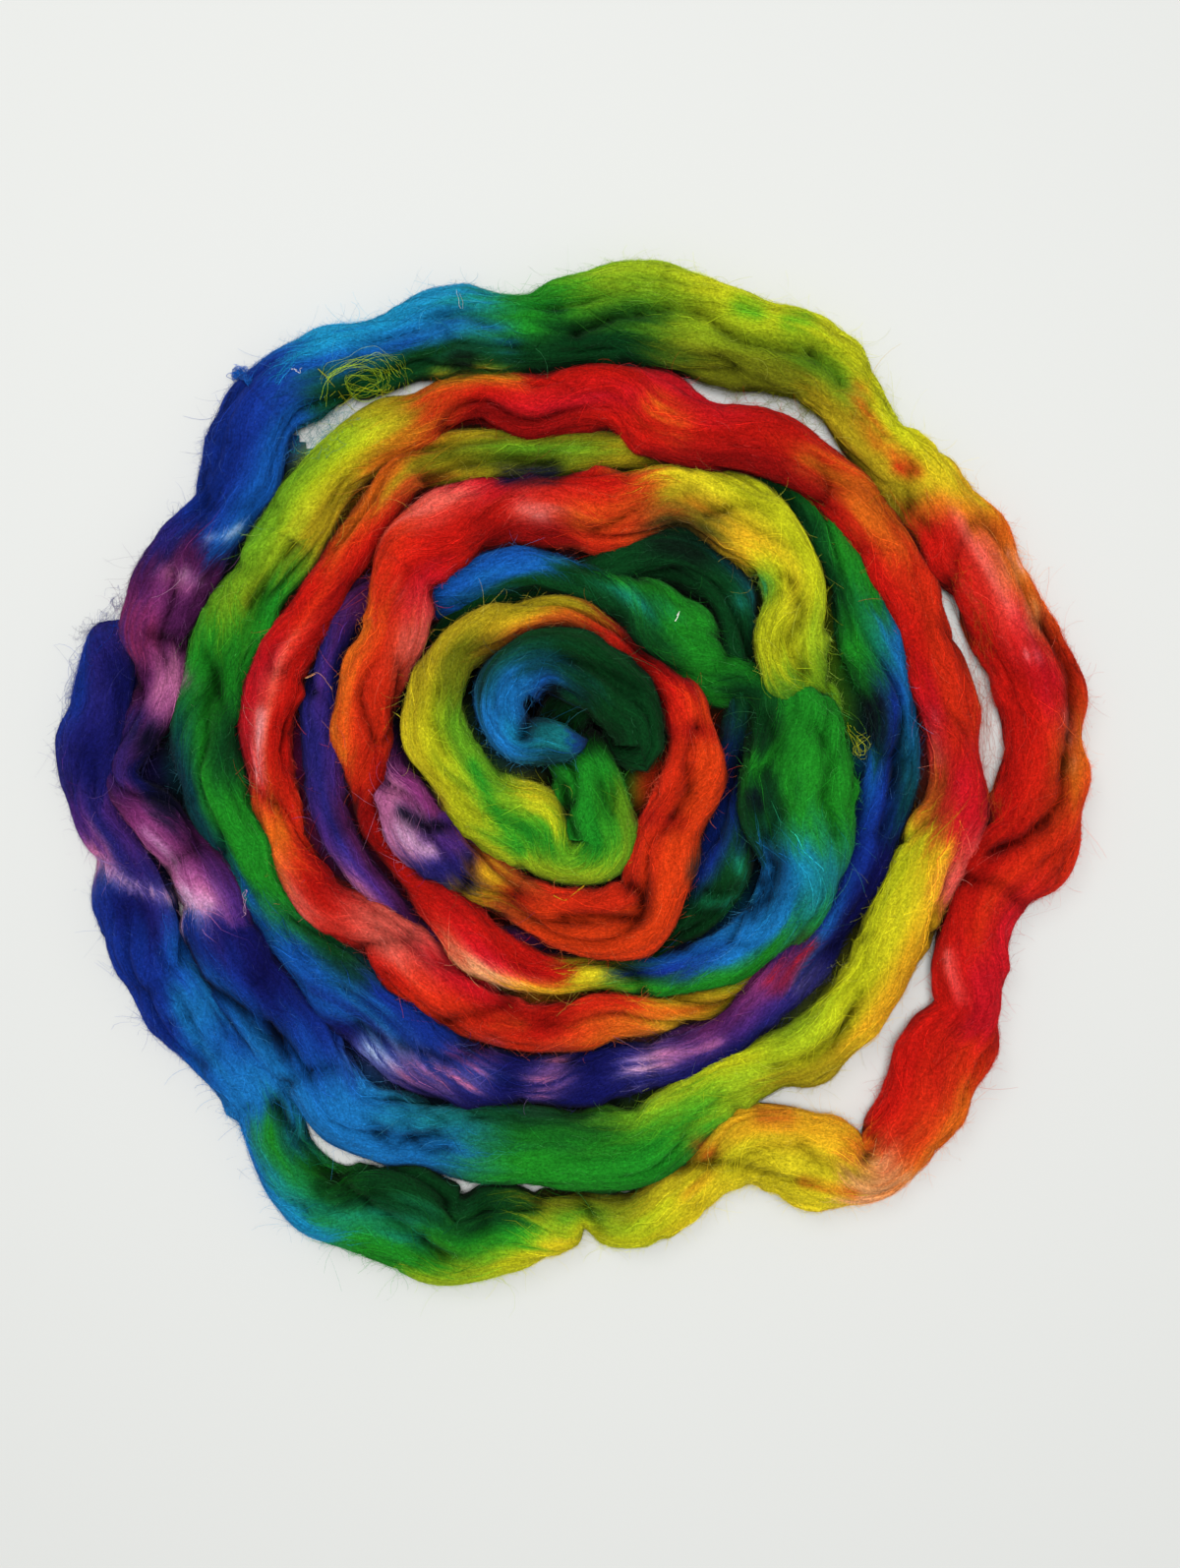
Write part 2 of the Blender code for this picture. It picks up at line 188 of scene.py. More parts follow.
# The wisps.
WISP_STEPS = 22  # points along a fibre
WISP_LOWEST = 0.5  # least height of the wool that a fibre lies over
WISP_SMOOTHINGS = 4  # rounds in which a wisp's line is smoothed
WISP_ROVERS = 20  # in wisps of more fibres than this, each covers only a part of the line
WISP_SPAN = (-0.1, 1.1)  # where on the line such a fibre starts and ends, as shares of it
WISP_WAVES = (1.1, 2.3, 4.5)  # how many times fibres wave on their way
WISP_LEVELS = (0.1, 0.7)  # shares of the rise that fibres start from
WISP_SWAY = 0.3  # how far they rise and fall on their way, as a share
WISP_WIDTHS = (0.7, 1.2)  # as shares of the width in the table
WISP_TIP = 0.6
WISP_TONE = 0.25  # spread of how much lighter or darker fibres are

# The wool under the inner turns.
BED_PAINTED_SHADE = 0.5  # painted shade: how much less light gets down to that wool, as the share of colour it keeps
BED_REACH = 210.0  # how far out its grid goes
BED_GRAIN = 3.0  # spacing of its points
BED_RISE = 0.38  # how much of the turns' height it follows
BED_HEIGHTS = (1.0, 9.0)  # lowest and highest that it lies

# The floor, the light and the camera, in metres, with lights in watts.
FLOOR_SIZE = 40.0
FLOOR_COLOUR = (0.665, 0.675, 0.655, 1.0)
ROOM_LIGHT = 0.34  # strength of the white light from all round
Lamp = namedtuple("Lamp", "name place size power")
LAMPS = [
    Lamp("window", (-0.7, 0.9, 1.7), 1.0, 8.0),
    Lamp("ceiling", (0.1, 0.1, 2.2), 1.0, 39.0),
]
CAMERA_PLACE = (0.0093, -0.0057, 0.857)
LENS = 42.0
SENSOR = 36.0

# Dyes, as everyday 0-255 colours.
# Besides dyes, some colours here serve the painted highlights and painted shadows among the patches
# below.
DYE_AND_PAINTED_LIGHT_COLOURS = {
    "ink": (4, 5, 24),
    "black_green": (6, 26, 14),
    "navy": (12, 14, 78),
    "royal": (16, 44, 132),
    "blue": (18, 82, 165),
    "azure": (24, 110, 178),
    "cyan": (26, 142, 188),
    "teal": (22, 118, 124),
    "deep_teal": (8, 62, 70),
    "sea_green": (20, 125, 90),
    "deep_green": (6, 58, 22),
    "green": (28, 132, 30),
    "grass": (96, 152, 26),
    "chartreuse": (150, 180, 28),
    "lime": (190, 194, 24),
    "yellow": (216, 198, 30),
    "gold": (222, 166, 28),
    "ochre": (166, 146, 22),
    "olive": (104, 108, 14),
    "orange": (216, 100, 22),
    "rust": (168, 68, 22),
    "peach": (235, 165, 112),
    "coral": (222, 92, 78),
    "vermilion": (212, 58, 14),
    "scarlet": (200, 40, 14),
    "red": (184, 19, 10),
    "crimson": (190, 18, 30),
    "dark_red": (138, 10, 8),
    "rose": (235, 150, 150),
    "white": (225, 222, 214),
    "grey": (150, 150, 138),
    "pale_blue": (170, 190, 225),
    "pink": (180, 100, 145),
    "pale_pink": (200, 152, 188),
    "magenta": (130, 50, 110),
    "plum": (74, 24, 72),
    "purple": (70, 36, 112),
    "indigo": (34, 30, 104),
}


def table(kind, rows):
    """The rows of a table with their columns named."""
    return [kind(*row) for row in rows]


Station = namedtuple("Station", "x y lift breadth dyes")

# Every table is a stretch of the same strand, one row for each station along it, in
# millimetres: where its middle lies, how high its underside is carried, how broad it is.
# The dyes are those of its outer edge, its middle and its inner edge, or one for all three.
OUTER_TURN = table(Station, [
    (-213, 70, 0, 11, "indigo indigo purple"),
    (-217, 57, 0, 25, "royal indigo navy"),
    (-218, 34, 0, 32, "royal indigo navy"),
    (-225, -2, 0, 32, "indigo navy navy"),
    (-222, -18, 0, 26, "purple indigo purple"),
    (-211, -35, 0, 28, "pink indigo purple"),
    (-204, -60, 0, 42, "royal navy indigo"),
    (-194, -91, 0, 35, "royal royal blue"),
    (-182, -111, 0, 33, "royal azure azure"),
    (-168, -129, 0, 31, "blue azure blue"),
    (-145, -155, 0, 30, "azure"),
    (-138, -175, 0, 27, "azure green teal"),
    (-118, -198, 0, 34, "cyan sea_green green"),
    (-91, -205, 0, 46, "green sea_green deep_green"),
    (-76, -209, 0, 46, "green sea_green deep_green"),
    (-57, -217, 0, 40, "chartreuse green deep_green"),
    (-34, -213, 0, 44, "lime green deep_green"),
    (-9, -208, 0, 29, "yellow chartreuse olive"),
    (4, -204, 0, 18, "lime grass olive"),
    (18, -209, 0, 26, "lime chartreuse olive"),
    (46, -198, 0, 28, "yellow lime ochre"),
    (62, -186, 0, 28, "yellow lime ochre"),
    (80, -176, 0, 37, "yellow yellow gold"),
    (116, -182, 0, 42, "yellow yellow gold"),
    (136, -185, 0, 32, "peach peach orange"),
    (154, -166, 0, 37, "orange scarlet red"),
    (162, -151, 0, 38, "orange scarlet red"),
    (173, -130, 0, 42, "scarlet scarlet red"),
    (182, -110, 0, 32, "crimson crimson red"),
    (182, -90, 0, 34, "crimson crimson red"),
    (188, -66, 0, 36, "crimson scarlet red"),
    (212, -27, 0, 44, "scarlet scarlet red"),
    (216, 4, 0, 37, "orange scarlet red"),
    (214, 42, 0, 41, "scarlet crimson red"),
    (194, 80, 0, 39, "orange coral red"),
    (179, 107, 0, 38, "orange coral red"),
    (158, 135, 0, 35, "yellow gold ochre"),
    (136, 155, 0, 28, "lime ochre ochre"),
    (123, 176, 0, 36, "lime grass ochre"),
    (107, 189, 0, 42, "lime grass olive"),
    (86, 196, 0, 42, "lime chartreuse olive"),
    (62, 203, 0, 46, "lime chartreuse olive"),
    (22, 212, 0, 47, "chartreuse grass deep_green"),
    (-20, 202, 0, 38, "green green deep_green"),
    (-64, 202, 0, 41, "cyan azure deep_green"),
    (-89, 193, 0, 34, "cyan blue deep_green"),
    (-110, 187, 0, 36, "cyan blue deep_green"),
])
SECOND_TURN = table(Station, [
    (-143, 169, 0, 38, "royal royal blue"),
    (-160, 132, 0, 38, "royal royal blue"),
    (-167, 115, 0, 34, "royal royal blue"),
    (-180, 98, 0, 34, "indigo plum plum"),
    (-190, 80, 1, 34, "plum magenta plum"),
    (-196, 62, 1, 31, "purple magenta plum"),
    (-192, 45, 1, 25, "plum pink pink"),
    (-201, 20, 3, 24, "plum"),
    (-210, -2, 5, 17, "plum plum navy"),
    (-196, -20, 5, 23, "magenta magenta ink"),
    (-179, -40, 4, 27, "pink magenta plum"),
    (-167, -61, 3, 30, "pale_pink pink purple"),
    (-166, -76, 3, 35, "royal indigo navy"),
    (-157, -92, 2, 37, "blue royal navy"),
    (-128, -129, 1, 36, "azure blue royal"),
    (-106, -158, 0, 36, "azure"),
    (-64, -170, 0, 31, "azure azure teal"),
    (-18, -174, 0, 37, "green green deep_green"),
    (32, -173, 0, 38, "green green grass"),
    (68, -146, 0, 26, "chartreuse chartreuse lime"),
    (108, -130, 0, 30, "ochre lime chartreuse"),
    (133, -101, 0, 33, "gold lime lime"),
    (154, -64, 0, 33, "gold yellow lime"),
    (165, -45, 0, 36, "coral gold lime"),
    (176, -10, 0, 29, "crimson crimson rust"),
    (173, 25, 0, 28, "scarlet scarlet crimson"),
    (163, 58, 0, 27, "scarlet scarlet red"),
    (149, 90, 0, 28, "scarlet scarlet red"),
    (132, 118, 0, 28, "orange orange red"),
    (105, 141, 1, 31, "red scarlet dark_red"),
    (88, 149, 3, 34, "red red dark_red"),
    (50, 158, 4, 36, "crimson red dark_red"),
    (35, 166, 2, 38, "crimson red red"),
    (18, 172, 0, 30, "red crimson red"),
    (-20, 167, 0, 33, "red crimson dark_red"),
    (-42, 173, 0, 26, "orange red dark_red"),
    (-79, 159, 0, 30, "ochre ochre orange"),
    (-110, 140, 0, 26, "chartreuse lime ochre"),
])
THIRD_TURN = table(Station, [
    (-134, 107, 0, 33, "grass chartreuse ochre"),
    (-153, 77, 0, 34, "grass chartreuse green"),
    (-165, 45, 0, 33, "green"),
    (-172, 8, 0, 33, "deep_teal green deep_green"),
    (-162, -24, 0, 29, "deep_teal green green"),
    (-145, -55, 0, 24, "blue green green"),
    (-124, -86, 0, 28, "blue blue deep_green"),
    (-94, -113, 0, 36, "navy azure royal"),
    (-64, -136, 0, 36, "navy royal royal"),
    (-22, -144, 0, 24, "navy"),
    (22, -139, 0, 26, "navy"),
    (62, -127, 0, 22, "navy purple plum"),
    (90, -104, 1, 25, "indigo purple magenta"),
    (112, -76, 1, 26, "navy azure navy"),
    (131, -44, 0, 28, "navy royal royal"),
    (145, -9, 0, 28, "deep_teal royal blue"),
    (147, 25, 0, 22, "azure royal deep_green"),
    (136, 58, 0, 28, "azure sea_green green"),
    (124, 90, 0, 22, "green green deep_green"),
    (104, 120, 0, 20, "green deep_green deep_green"),
    (82, 134, 0, 20, "deep_green deep_green olive"),
    (58, 144, 0, 20, "olive"),
    (34, 147, 0, 20, "ochre"),
    (-15, 146, 0, 22, "olive grass olive"),
    (-58, 145, 0, 26, "ochre olive ochre"),
])
FOURTH_TURN = table(Station, [
    (-76, 139, 0, 22, "orange ochre rust"),
    (-99, 107, 0, 20, "orange scarlet red"),
    (-118, 77, 1, 23, "red scarlet dark_red"),
    (-138, 44, 3, 25, "crimson coral red"),
    (-143, 10, 2, 25, "crimson scarlet red"),
    (-136, -25, 0, 20, "orange orange scarlet"),
    (-121, -57, 0, 26, "coral red dark_red"),
    (-92, -76, 1, 28, "red coral coral"),
    (-58, -104, 2, 28, "scarlet scarlet crimson"),
    (-20, -119, 2, 26, "scarlet red red"),
    (20, -113, 1, 22, "orange orange scarlet"),
    (40, -112, 0, 16, "gold orange gold"),
    (74, -103, 0, 12, "ochre"),
    (90, -88, 0, 12, "olive"),
    (104, -68, 0, 12, "olive"),
    (115, -46, 0, 14, "ochre olive ochre"),
    (120, -12, 0, 14, "deep_green"),
    (114, 22, 2, 22, "grass grass deep_green"),
    (98, 57, 7, 35, "chartreuse lime lime"),
    (99, 90, 3, 31, "lime yellow lime"),
    (79, 114, 5, 38, "lime yellow gold"),
    (46, 127, 3, 30, "yellow ochre orange"),
    (10, 119, 1, 38, "red scarlet scarlet"),
    (-14, 118, 0, 30, "red coral dark_red"),
    (-38, 119, 0, 35, "crimson red dark_red"),
    (-60, 110, 2, 37, "coral red red"),
])
FIFTH_TURN = table(Station, [
    (-78, 93, 5, 32, "scarlet red crimson"),
    (-84, 62, 7, 30, "orange scarlet coral"),
    (-98, 30, 3, 29, "orange scarlet scarlet"),
    (-98, 12, 2, 28, "orange scarlet scarlet"),
    (-96, -2, 1, 20, "scarlet scarlet dark_red"),
    (-96, -17, 0, 12, "dark_red"),
    (-91, -32, 0, 12, "dark_red red dark_red"),
    (-66, -56, 4, 22, "red red dark_red"),
    (-43, -82, 7, 26, "peach crimson red"),
    (-12, -96, 3, 20, "gold red red"),
    (5, -95, 1, 18, "ochre yellow ochre"),
    (42, -94, 0, 18, "green royal blue"),
    (81, -82, 2, 26, "green azure azure"),
    (104, -50, 6, 40, "teal cyan azure"),
    (102, -14, 9, 52, "green green deep_green"),
    (102, 6, 8, 54, "green"),
    (96, 22, 5, 46, "green green deep_green"),
    (84, 36, 0, 28, "green deep_green deep_green"),
    (62, 47, 2, 30, "green"),
    (43, 62, 5, 36, "green green deep_green"),
    (24, 79, 5, 24, "green sea_green deep_green"),
    (4, 86, 7, 18, "deep_green"),
    (-18, 93, 5, 20, "blue blue deep_green"),
    (-58, 82, 0, 22, "blue"),
    (-76, 80, 0, 20, "navy"),
])
SIXTH_TURN = table(Station, [
    (-94, 80, 0, 18, "plum"),
    (-116, 45, 0, 18, "indigo purple navy"),
    (-118, 8, 0, 20, "indigo indigo purple"),
    (-111, -28, 0, 20, "purple indigo plum"),
    (-93, -54, 0, 16, "pink purple plum"),
    (-68, -77, 0, 12, "plum"),
    (-25, -80, 0, 14, "plum"),
    (42, -74, 0, 20, "deep_green"),
    (65, -52, 1, 28, "deep_green deep_green royal"),
    (75, -8, 1, 20, "royal"),
    (76, 40, 0, 16, "deep_green"),
    (66, 88, 0, 26, "deep_teal deep_green deep_green"),
    (46, 99, 0, 26, "deep_green"),
    (-10, 80, 0, 20, "deep_green"),
    (-45, 72, 0, 20, "deep_green"),
    (-68, 50, 0, 20, "deep_green"),
    (-80, 22, 0, 12, "ink"),
    (-84, 4, 0, 12, "plum"),
    (-80, -13, 6, 26, "pink pink magenta"),
    (-73, -29, 6, 34, "pink pale_pink magenta"),
    (-56, -40, 7, 26, "indigo purple purple"),
    (-41, -50, 6, 24, "gold orange rust"),
])
INNER_TURN = table(Station, [
    (-28, -58, 7, 22, "rust scarlet rust"),
    (-8, -68, 8, 28, "vermilion vermilion scarlet"),
    (32, -64, 8, 31, "vermilion vermilion scarlet"),
    (42, -33, 6, 34, "vermilion vermilion scarlet"),
    (55, 8, 5, 27, "vermilion vermilion scarlet"),
    (49, 29, 8, 21, "vermilion scarlet red"),
    (38, 42, 9, 15, "dark_red red dark_red"),
    (25, 53, 10, 15, "dark_red red dark_red"),
    (-6, 72, 12, 17, "ochre orange rust"),
    (-24, 69, 12, 17, "ochre gold rust"),
    (-56, 51, 12, 22, "ochre olive olive"),
    (-65, 20, 8, 30, "yellow lime grass"),
    (-47, -11, 4, 32, "lime chartreuse grass"),
    (-19, -30, 4, 40, "chartreuse green lime"),
    (-2, -42, 5, 24, "chartreuse grass grass"),
    (11, -37, 7, 30, "grass green green"),
    (10, -20, 7, 34, "grass green green"),
    (4, -2, 4, 32, "green"),
    (-6, 20, 3, 26, "deep_green"),
    (6, 33, 8, 24, "deep_green deep_green black_green"),
    (20, 24, 10, 22, "deep_green"),
    (26, 10, 6, 22, "deep_green"),
])
CURLED_END = table(Station, [
    (30, 8, 6, 22, "deep_green"),
    (30, 17, 8, 24, "deep_green"),
    (22, 33, 9, 32, "deep_green"),
    (4, 46, 10, 32, "deep_green deep_green deep_teal"),
    (-16, 49, 11, 27, "deep_green deep_teal blue"),
    (-31, 40, 12, 26, "deep_teal azure azure"),
    (-33, 26, 12, 24, "azure"),
    (-27, 15, 13, 22, "azure cyan azure"),
    (-13, 13, 14, 24, "deep_teal teal deep_teal"),
    (-2, 13, 15, 20, "teal"),
    (6, 14, 13, 12, "blue"),
])

Stretch = namedtuple("Stretch", "name stations extra_thickness")
STRETCHES = table(Stretch, [
    ("outer", OUTER_TURN, 0),
    ("second", SECOND_TURN, 0),
    ("third", THIRD_TURN, 0),
    ("fourth", FOURTH_TURN, 0),
    ("fifth", FIFTH_TURN, 0),
    ("sixth", SIXTH_TURN, 0),
    ("inner", INNER_TURN, 2),
    ("curl", CURLED_END, 10),
])

# Lengthwise furrows pressed into the top of a stretch: how deep and how wide each is, and
# the line that it follows.
Fold = namedtuple("Fold", "stretch depth half_width line")
FOLDS = table(Fold, [
    ("outer", 9, 3, [
        (214, 68), (227, 44), (228, 28), (225, 3), (223, -13), (215, -25), (203, -33), (190, -38)]),
    ("outer", 8, 3.5, [
        (0, 200), (13, 206), (29, 209), (45, 211), (59, 208), (76, 196), (92, 193), (108, 191)]),
    ("outer", 4, 2.5, [(108, 191), (119, 184), (122, 176)]),
    ("outer", 5, 2.5, [(50, -183), (70, -181), (95, -187), (110, -190)]),
    ("outer", 4, 2.5, [(103, -172), (113, -182), (124, -185), (136, -188)]),
    ("outer", 5, 2.5, [(133, -180), (139, -172), (136, -168)]),
    ("outer", 4, 3, [(155, 140), (152, 130), (155, 117), (163, 111)]),
    ("outer", 7, 3, [(-139, -155), (-128, -172), (-118, -184), (-100, -196), (-84, -205), (-61, -223)]),
    ("outer", 4, 3, [(-68, 206), (-52, 209), (-36, 201), (-26, 193)]),
    ("outer", 6, 4, [(-42, -203), (-42, -210)]),
    ("outer", 6, 3, [(3, -199), (7, -205), (11, -212)]),
    ("outer", 6, 3, [(205, -62), (193, -52), (178, -50)]),
    ("second", 8, 3.5, [(-181, -80), (-173, -97), (-153, -110), (-141, -118), (-134, -131)]),
    ("second", 6, 3, [(-135, -146), (-124, -139), (-112, -137)]),
    ("second", 5, 3, [(131, -103), (124, -117), (108, -132), (92, -137)]),
    ("second", 6, 3, [(-196, 62), (-186, 60), (-178, 54)]),
    ("second", 4, 1.6, [(-98, -152), (-90, -156), (-84, -152), (-76, -158), (-68, -156), (-60, -162)]),
    ("second", 4, 1.6, [(-96, -160), (-88, -166), (-80, -162), (-72, -168), (-64, -166)]),
    ("second", 4, 1.6, [(-92, -168), (-84, -174), (-76, -170), (-68, -176), (-58, -174)]),
    ("third", 6, 3, [(-100, -117), (-90, -123), (-76, -129), (-60, -133), (-48, -131)]),
    ("third", 5, 2.5, [(-123, 123), (-127, 115), (-130, 104), (-140, 91), (-150, 75)]),
    ("third", 5, 2.5, [(-170, 53), (-166, 42), (-163, 29)]),
    ("third", 5, 3, [(-79, 129), (-68, 135), (-55, 140), (-32, 143), (-10, 142)]),
    ("third", 5, 3, [(140, -30), (148, -14), (147, 4), (150, 22)]),
    ("fourth", 5, 3, [(-60, -116), (-44, -112), (-30, -108)]),
    ("fourth", 6, 3, [(104, 44), (96, 58), (104, 72), (98, 88)]),
    ("fourth", 5, 3, [(60, 116), (74, 121), (88, 118)]),
    ("fifth", 6, 3, [(92, -44), (91, -57), (82, -67)]),
    ("fifth", 6, 3, [(79, -48), (88, -54), (84, -62), (68, -65)]),
    ("fifth", 6, 3, [(92, -20), (86, -34), (92, -46)]),
    ("fifth", 5, 3, [(118, -30), (112, -12), (116, 6), (108, 20)]),
    ("fifth", 5, 3, [(84, -2), (92, 10), (88, 24)]),
    ("sixth", 6, 3, [(-79, -21), (-75, -24), (-68, -27), (-57, -26)]),
    ("sixth", 6, 2.5, [(-52, -56), (-48, -48), (-48, -40)]),
    ("sixth", 6, 2, [(60, -56), (68, -57), (76, -54)]),
    ("sixth", 5, 2, [(58, -66), (66, -66), (72, -62)]),
    ("inner", 7, 3, [(-6, -67), (14, -67), (29, -68), (31, -65), (30, -57), (26, -53)]),
    ("inner", 6, 2, [(-5, -8), (-4, -20), (0, -30)]),
    ("inner", 4, 2, [(12, -6), (14, -16)]),
    ("inner", 4, 2, [(18, -8), (17, -20)]),
    ("inner", 6, 2.5, [(44, -22), (52, -10), (50, 6), (56, 20)]),
    ("inner", 5, 2.5, [(-62, 38), (-66, 24), (-60, 8)]),
    ("curl", 8, 3, [(-10, 35), (-20, 27), (-23, 15)]),
    ("curl", 5, 2, [(-22, 23), (-24, 12)]),
    ("curl", 5, 2.5, [(28, 36), (12, 45), (-6, 50)]),
])

# Lobes that bulge above the strand around them.
Knob = namedtuple("Knob", "stretch height radius x y")
KNOBS = table(Knob, [
    ("fifth", 5, 14, 43, 68),
    ("sixth", 7, 8, -37, -48),
    ("inner", 5, 9, -19, -11),
    ("outer", 3, 9, 163, 128),
    ("fourth", 3, 12, 84, 116),
])

# Patches laid over the dyes: some where the dye took differently from its surroundings, some
# painted highlights and some painted shadows. Each gives its colour, how strongly it shows, how wide the
# patch is to each side of its line, and the line.
DyeAndPaintedLightPatch = namedtuple("DyeAndPaintedLightPatch", "dye strength half_width line")
DYE_AND_PAINTED_LIGHT_PATCHES = table(DyeAndPaintedLightPatch, [
    ("indigo", 0.85, 8, [(-204, 22), (-209, 10), (-211, -2)]),
    ("crimson", 0.5, 8, [(-204, 72), (-200, 58)]),
    ("ink", 0.9, 7, [(-196, 14), (-192, 2), (-189, -8)]),
    ("scarlet", 0.85, 9, [(-67, 168), (-60, 170)]),
    # painted highlight along the strand's upper edge
    ("gold", 0.8, 4, [(-64, 181), (-45, 184), (-28, 181)]),
    ("yellow", 0.8, 5, [(104, -174), (118, -180), (134, -187)]),
    # painted shadow in a dark hole
    ("ink", 0.8, 3, [(-79, -19), (-72, -24), (-62, -26)]),
    ("pale_pink", 0.9, 4, [(-222, -42), (-205, -52), (-190, -57), (-179, -61)]),
    ("pale_pink", 0.8, 3.5, [(-178, -55), (-168, -62)]),
    # painted highlight
    ("rose", 0.8, 4, [(-144, 26), (-146, 10), (-146, -4)]),
    ("magenta", 0.7, 7, [(-204, 76), (-200, 64), (-194, 54)]),
    ("pink", 0.8, 6, [(-188, 52), (-186, 40), (-192, 30)]),
    ("pale_pink", 0.6, 4, [(-196, -28), (-186, -38), (-178, -48)]),
    ("azure", 0.5, 4, [(-31, 34), (-20, 39), (-8, 40)]),
    ("pink", 0.7, 5, [(-190, 92), (-178, 84)]),
    ("orange", 0.9, 9, [(108, 142), (120, 135), (130, 124), (133, 112)]),
    # painted shadow in a dark notch
    ("ink", 0.9, 3.5, [(80, -12), (82, -16)]),
    # painted shadow in a dark gap
    ("black_green", 1, 11, [(42, 106), (54, 103)]),
    ("yellow", 0.8, 9, [(160, 136), (170, 127), (184, 125)]),
    ("orange", 0.8, 5, [(129, 174), (132, 164), (140, 152)]),
    ("orange", 0.8, 6, [(166, 120), (158, 116)]),
    ("scarlet", 0.6, 3, [(146, 146), (152, 141)]),
    ("orange", 0.8, 6, [(-84, 138), (-96, 128), (-104, 114)]),
    ("sea_green", 0.9, 3.5, [(60, -61), (70, -62), (78, -58), (78, -48), (72, -40)]),
    ("green", 0.7, 4, [(1, -8), (0, -20), (3, -28)]),
    # painted shade: floor in shadow seen through thin wool
    ("grey", 0.6, 5, [(104, -100), (113, -92)]),
    ("gold", 0.8, 6, [(52, -195), (60, -187)]),
    ("orange", 0.7, 5, [(56, -172), (62, -178)]),
    ("peach", 0.7, 5, [(134, -186), (148, -184)]),
    ("pink", 0.7, 4, [(-183, 46), (-178, 40)]),
    ("pale_pink", 0.6, 4, [(-180, 90), (-174, 87)]),
    ("pale_blue", 0.8, 2.5, [(-168, 106), (-160, 107), (-154, 111)]),
    ("pale_blue", 1, 10, [(-95, -129), (-84, -134)]),
    ("pink", 0.95, 9, [(-76, -138), (-62, -143), (-46, -142)]),
    ("magenta", 0.7, 6, [(-56, -130), (-38, -129)]),
    ("pink", 1, 9, [(-18, -147), (-9, -138)]),
    ("pale_pink", 0.85, 10, [(28, -138), (38, -133)]),
    ("pink", 0.7, 7, [(42, -132), (60, -126)]),
    ("pink", 0.5, 3, [(60, -127), (66, -125)]),
    ("crimson", 0.7, 6, [(93, -98), (100, -90), (107, -81)]),
    ("orange", 0.5, 5, [(-36, -116), (-26, -118)]),
    ("coral", 0.6, 8, [(-96, -78), (-85, -84)]),
    ("peach", 0.8, 3, [(-47, -90), (-38, -98), (-28, -104), (-20, -107)]),
    ("yellow", 0.8, 5, [(0, -98), (8, -94)]),
    ("green", 0.7, 4, [(58, -94), (70, -96)]),
    # painted highlight
    ("rose", 0.6, 3.5, [(171, -85), (172, -92), (177, -105)]),
    ("peach", 0.8, 4, [(132, -191), (145, -190), (152, -188)]),
    ("orange", 0.8, 2.5, [(104, -188), (116, -191), (128, -195)]),
    ("rust", 0.6, 4, [(86, -160), (97, -160)]),
    ("rose", 0.8, 3.5, [(207, 53), (211, 51)]),
    ("peach", 0.6, 6, [(205, 95), (203, 90)]),
    ("peach", 0.6, 6, [(209, 74), (209, 66)]),
    # painted highlights in this row and the next
    ("rose", 0.5, 5, [(225, 24), (227, 14)]),
    ("rose", 0.4, 3, [(228, 4), (227, 0)]),
    ("rose", 0.4, 3, [(165, 26), (166, 14), (167, 4)]),
    # painted highlight
    ("rose", 0.5, 4, [(199, 99), (204, 94)]),
    ("orange", 0.5, 6, [(176, 120), (184, 114)]),
    ("scarlet", 0.7, 3.5, [(149, 139), (155, 137)]),
    ("green", 0.4, 5, [(76, 212), (82, 210)]),
    ("green", 0.3, 5, [(98, 205), (104, 205)]),
    ("azure", 0.9, 7, [(-60, 204), (-50, 203), (-38, 199), (-31, 195)]),
    ("cyan", 0.8, 8, [(-80, 215), (-60, 219), (-40, 215)]),
    # painted shadows in hollows between lobes, this row and the next
    ("deep_green", 0.8, 6, [(-10, 208), (-4, 197)]),
    ("black_green", 0.9, 5, [(-54, 188), (-50, 188)]),
    ("deep_green", 0.8, 4, [(-118, -192), (-106, -197)]),
    ("orange", 1, 8, [(36, 165), (47, 157)]),
    # painted highlights in this row and the next
    ("coral", 0.4, 7, [(-62, 117), (-52, 124), (-45, 126)]),
    ("rose", 0.5, 5, [(-24, 120), (-16, 116)]),
    ("orange", 0.9, 8, [(4, 116), (18, 117)]),
    ("navy", 0.9, 4.5, [(-32, 135), (-11, 136)]),
    # painted highlights in this row and the next
    ("rose", 0.3, 5, [(-81, 84), (-79, 78)]),
    ("coral", 0.45, 6, [(-79, 62), (-76, 56)]),
    ("azure", 0.7, 3.5, [(-45, 88), (-30, 92), (-10, 96), (0, 97)]),
    # painted highlight
    ("teal", 0.5, 5, [(24, 80), (32, 76)]),
    ("deep_green", 0.8, 6, [(72, 62), (74, 72)]),
    ("teal", 0.7, 6, [(78, 78), (84, 84)]),
    ("ink", 0.8, 5, [(138, 16), (138, 30)]),
    ("royal", 0.9, 6, [(58, -46), (66, -36)]),
    ("magenta", 0.8, 5, [(-74, -12), (-66, -17)]),
    ("pale_pink", 0.9, 5, [(-82, -28), (-76, -34), (-66, -37)]),
    ("indigo", 0.8, 4, [(-70, -46), (-58, -45), (-50, -40)]),
    ("gold", 0.9, 7, [(-40, -46), (-36, -49)]),
    ("green", 0.7, 3, [(-47, 2), (-42, -8), (-37, -18), (-30, -29), (-25, -36)]),
    ("yellow", 0.9, 8, [(-22, -8), (-18, -14)]),
    ("dark_red", 0.6, 4, [(44, 18), (66, 17)]),
    # painted shade across the strand
    ("dark_red", 0.5, 4, [(30, -21), (48, -24)]),
    # painted shadow in a crevice of the curled end
    ("deep_green", 0.9, 6, [(-5, 30), (4, 24), (12, 20)]),
    ("deep_teal", 0.7, 5, [(-26, 52), (-14, 53)]),
])

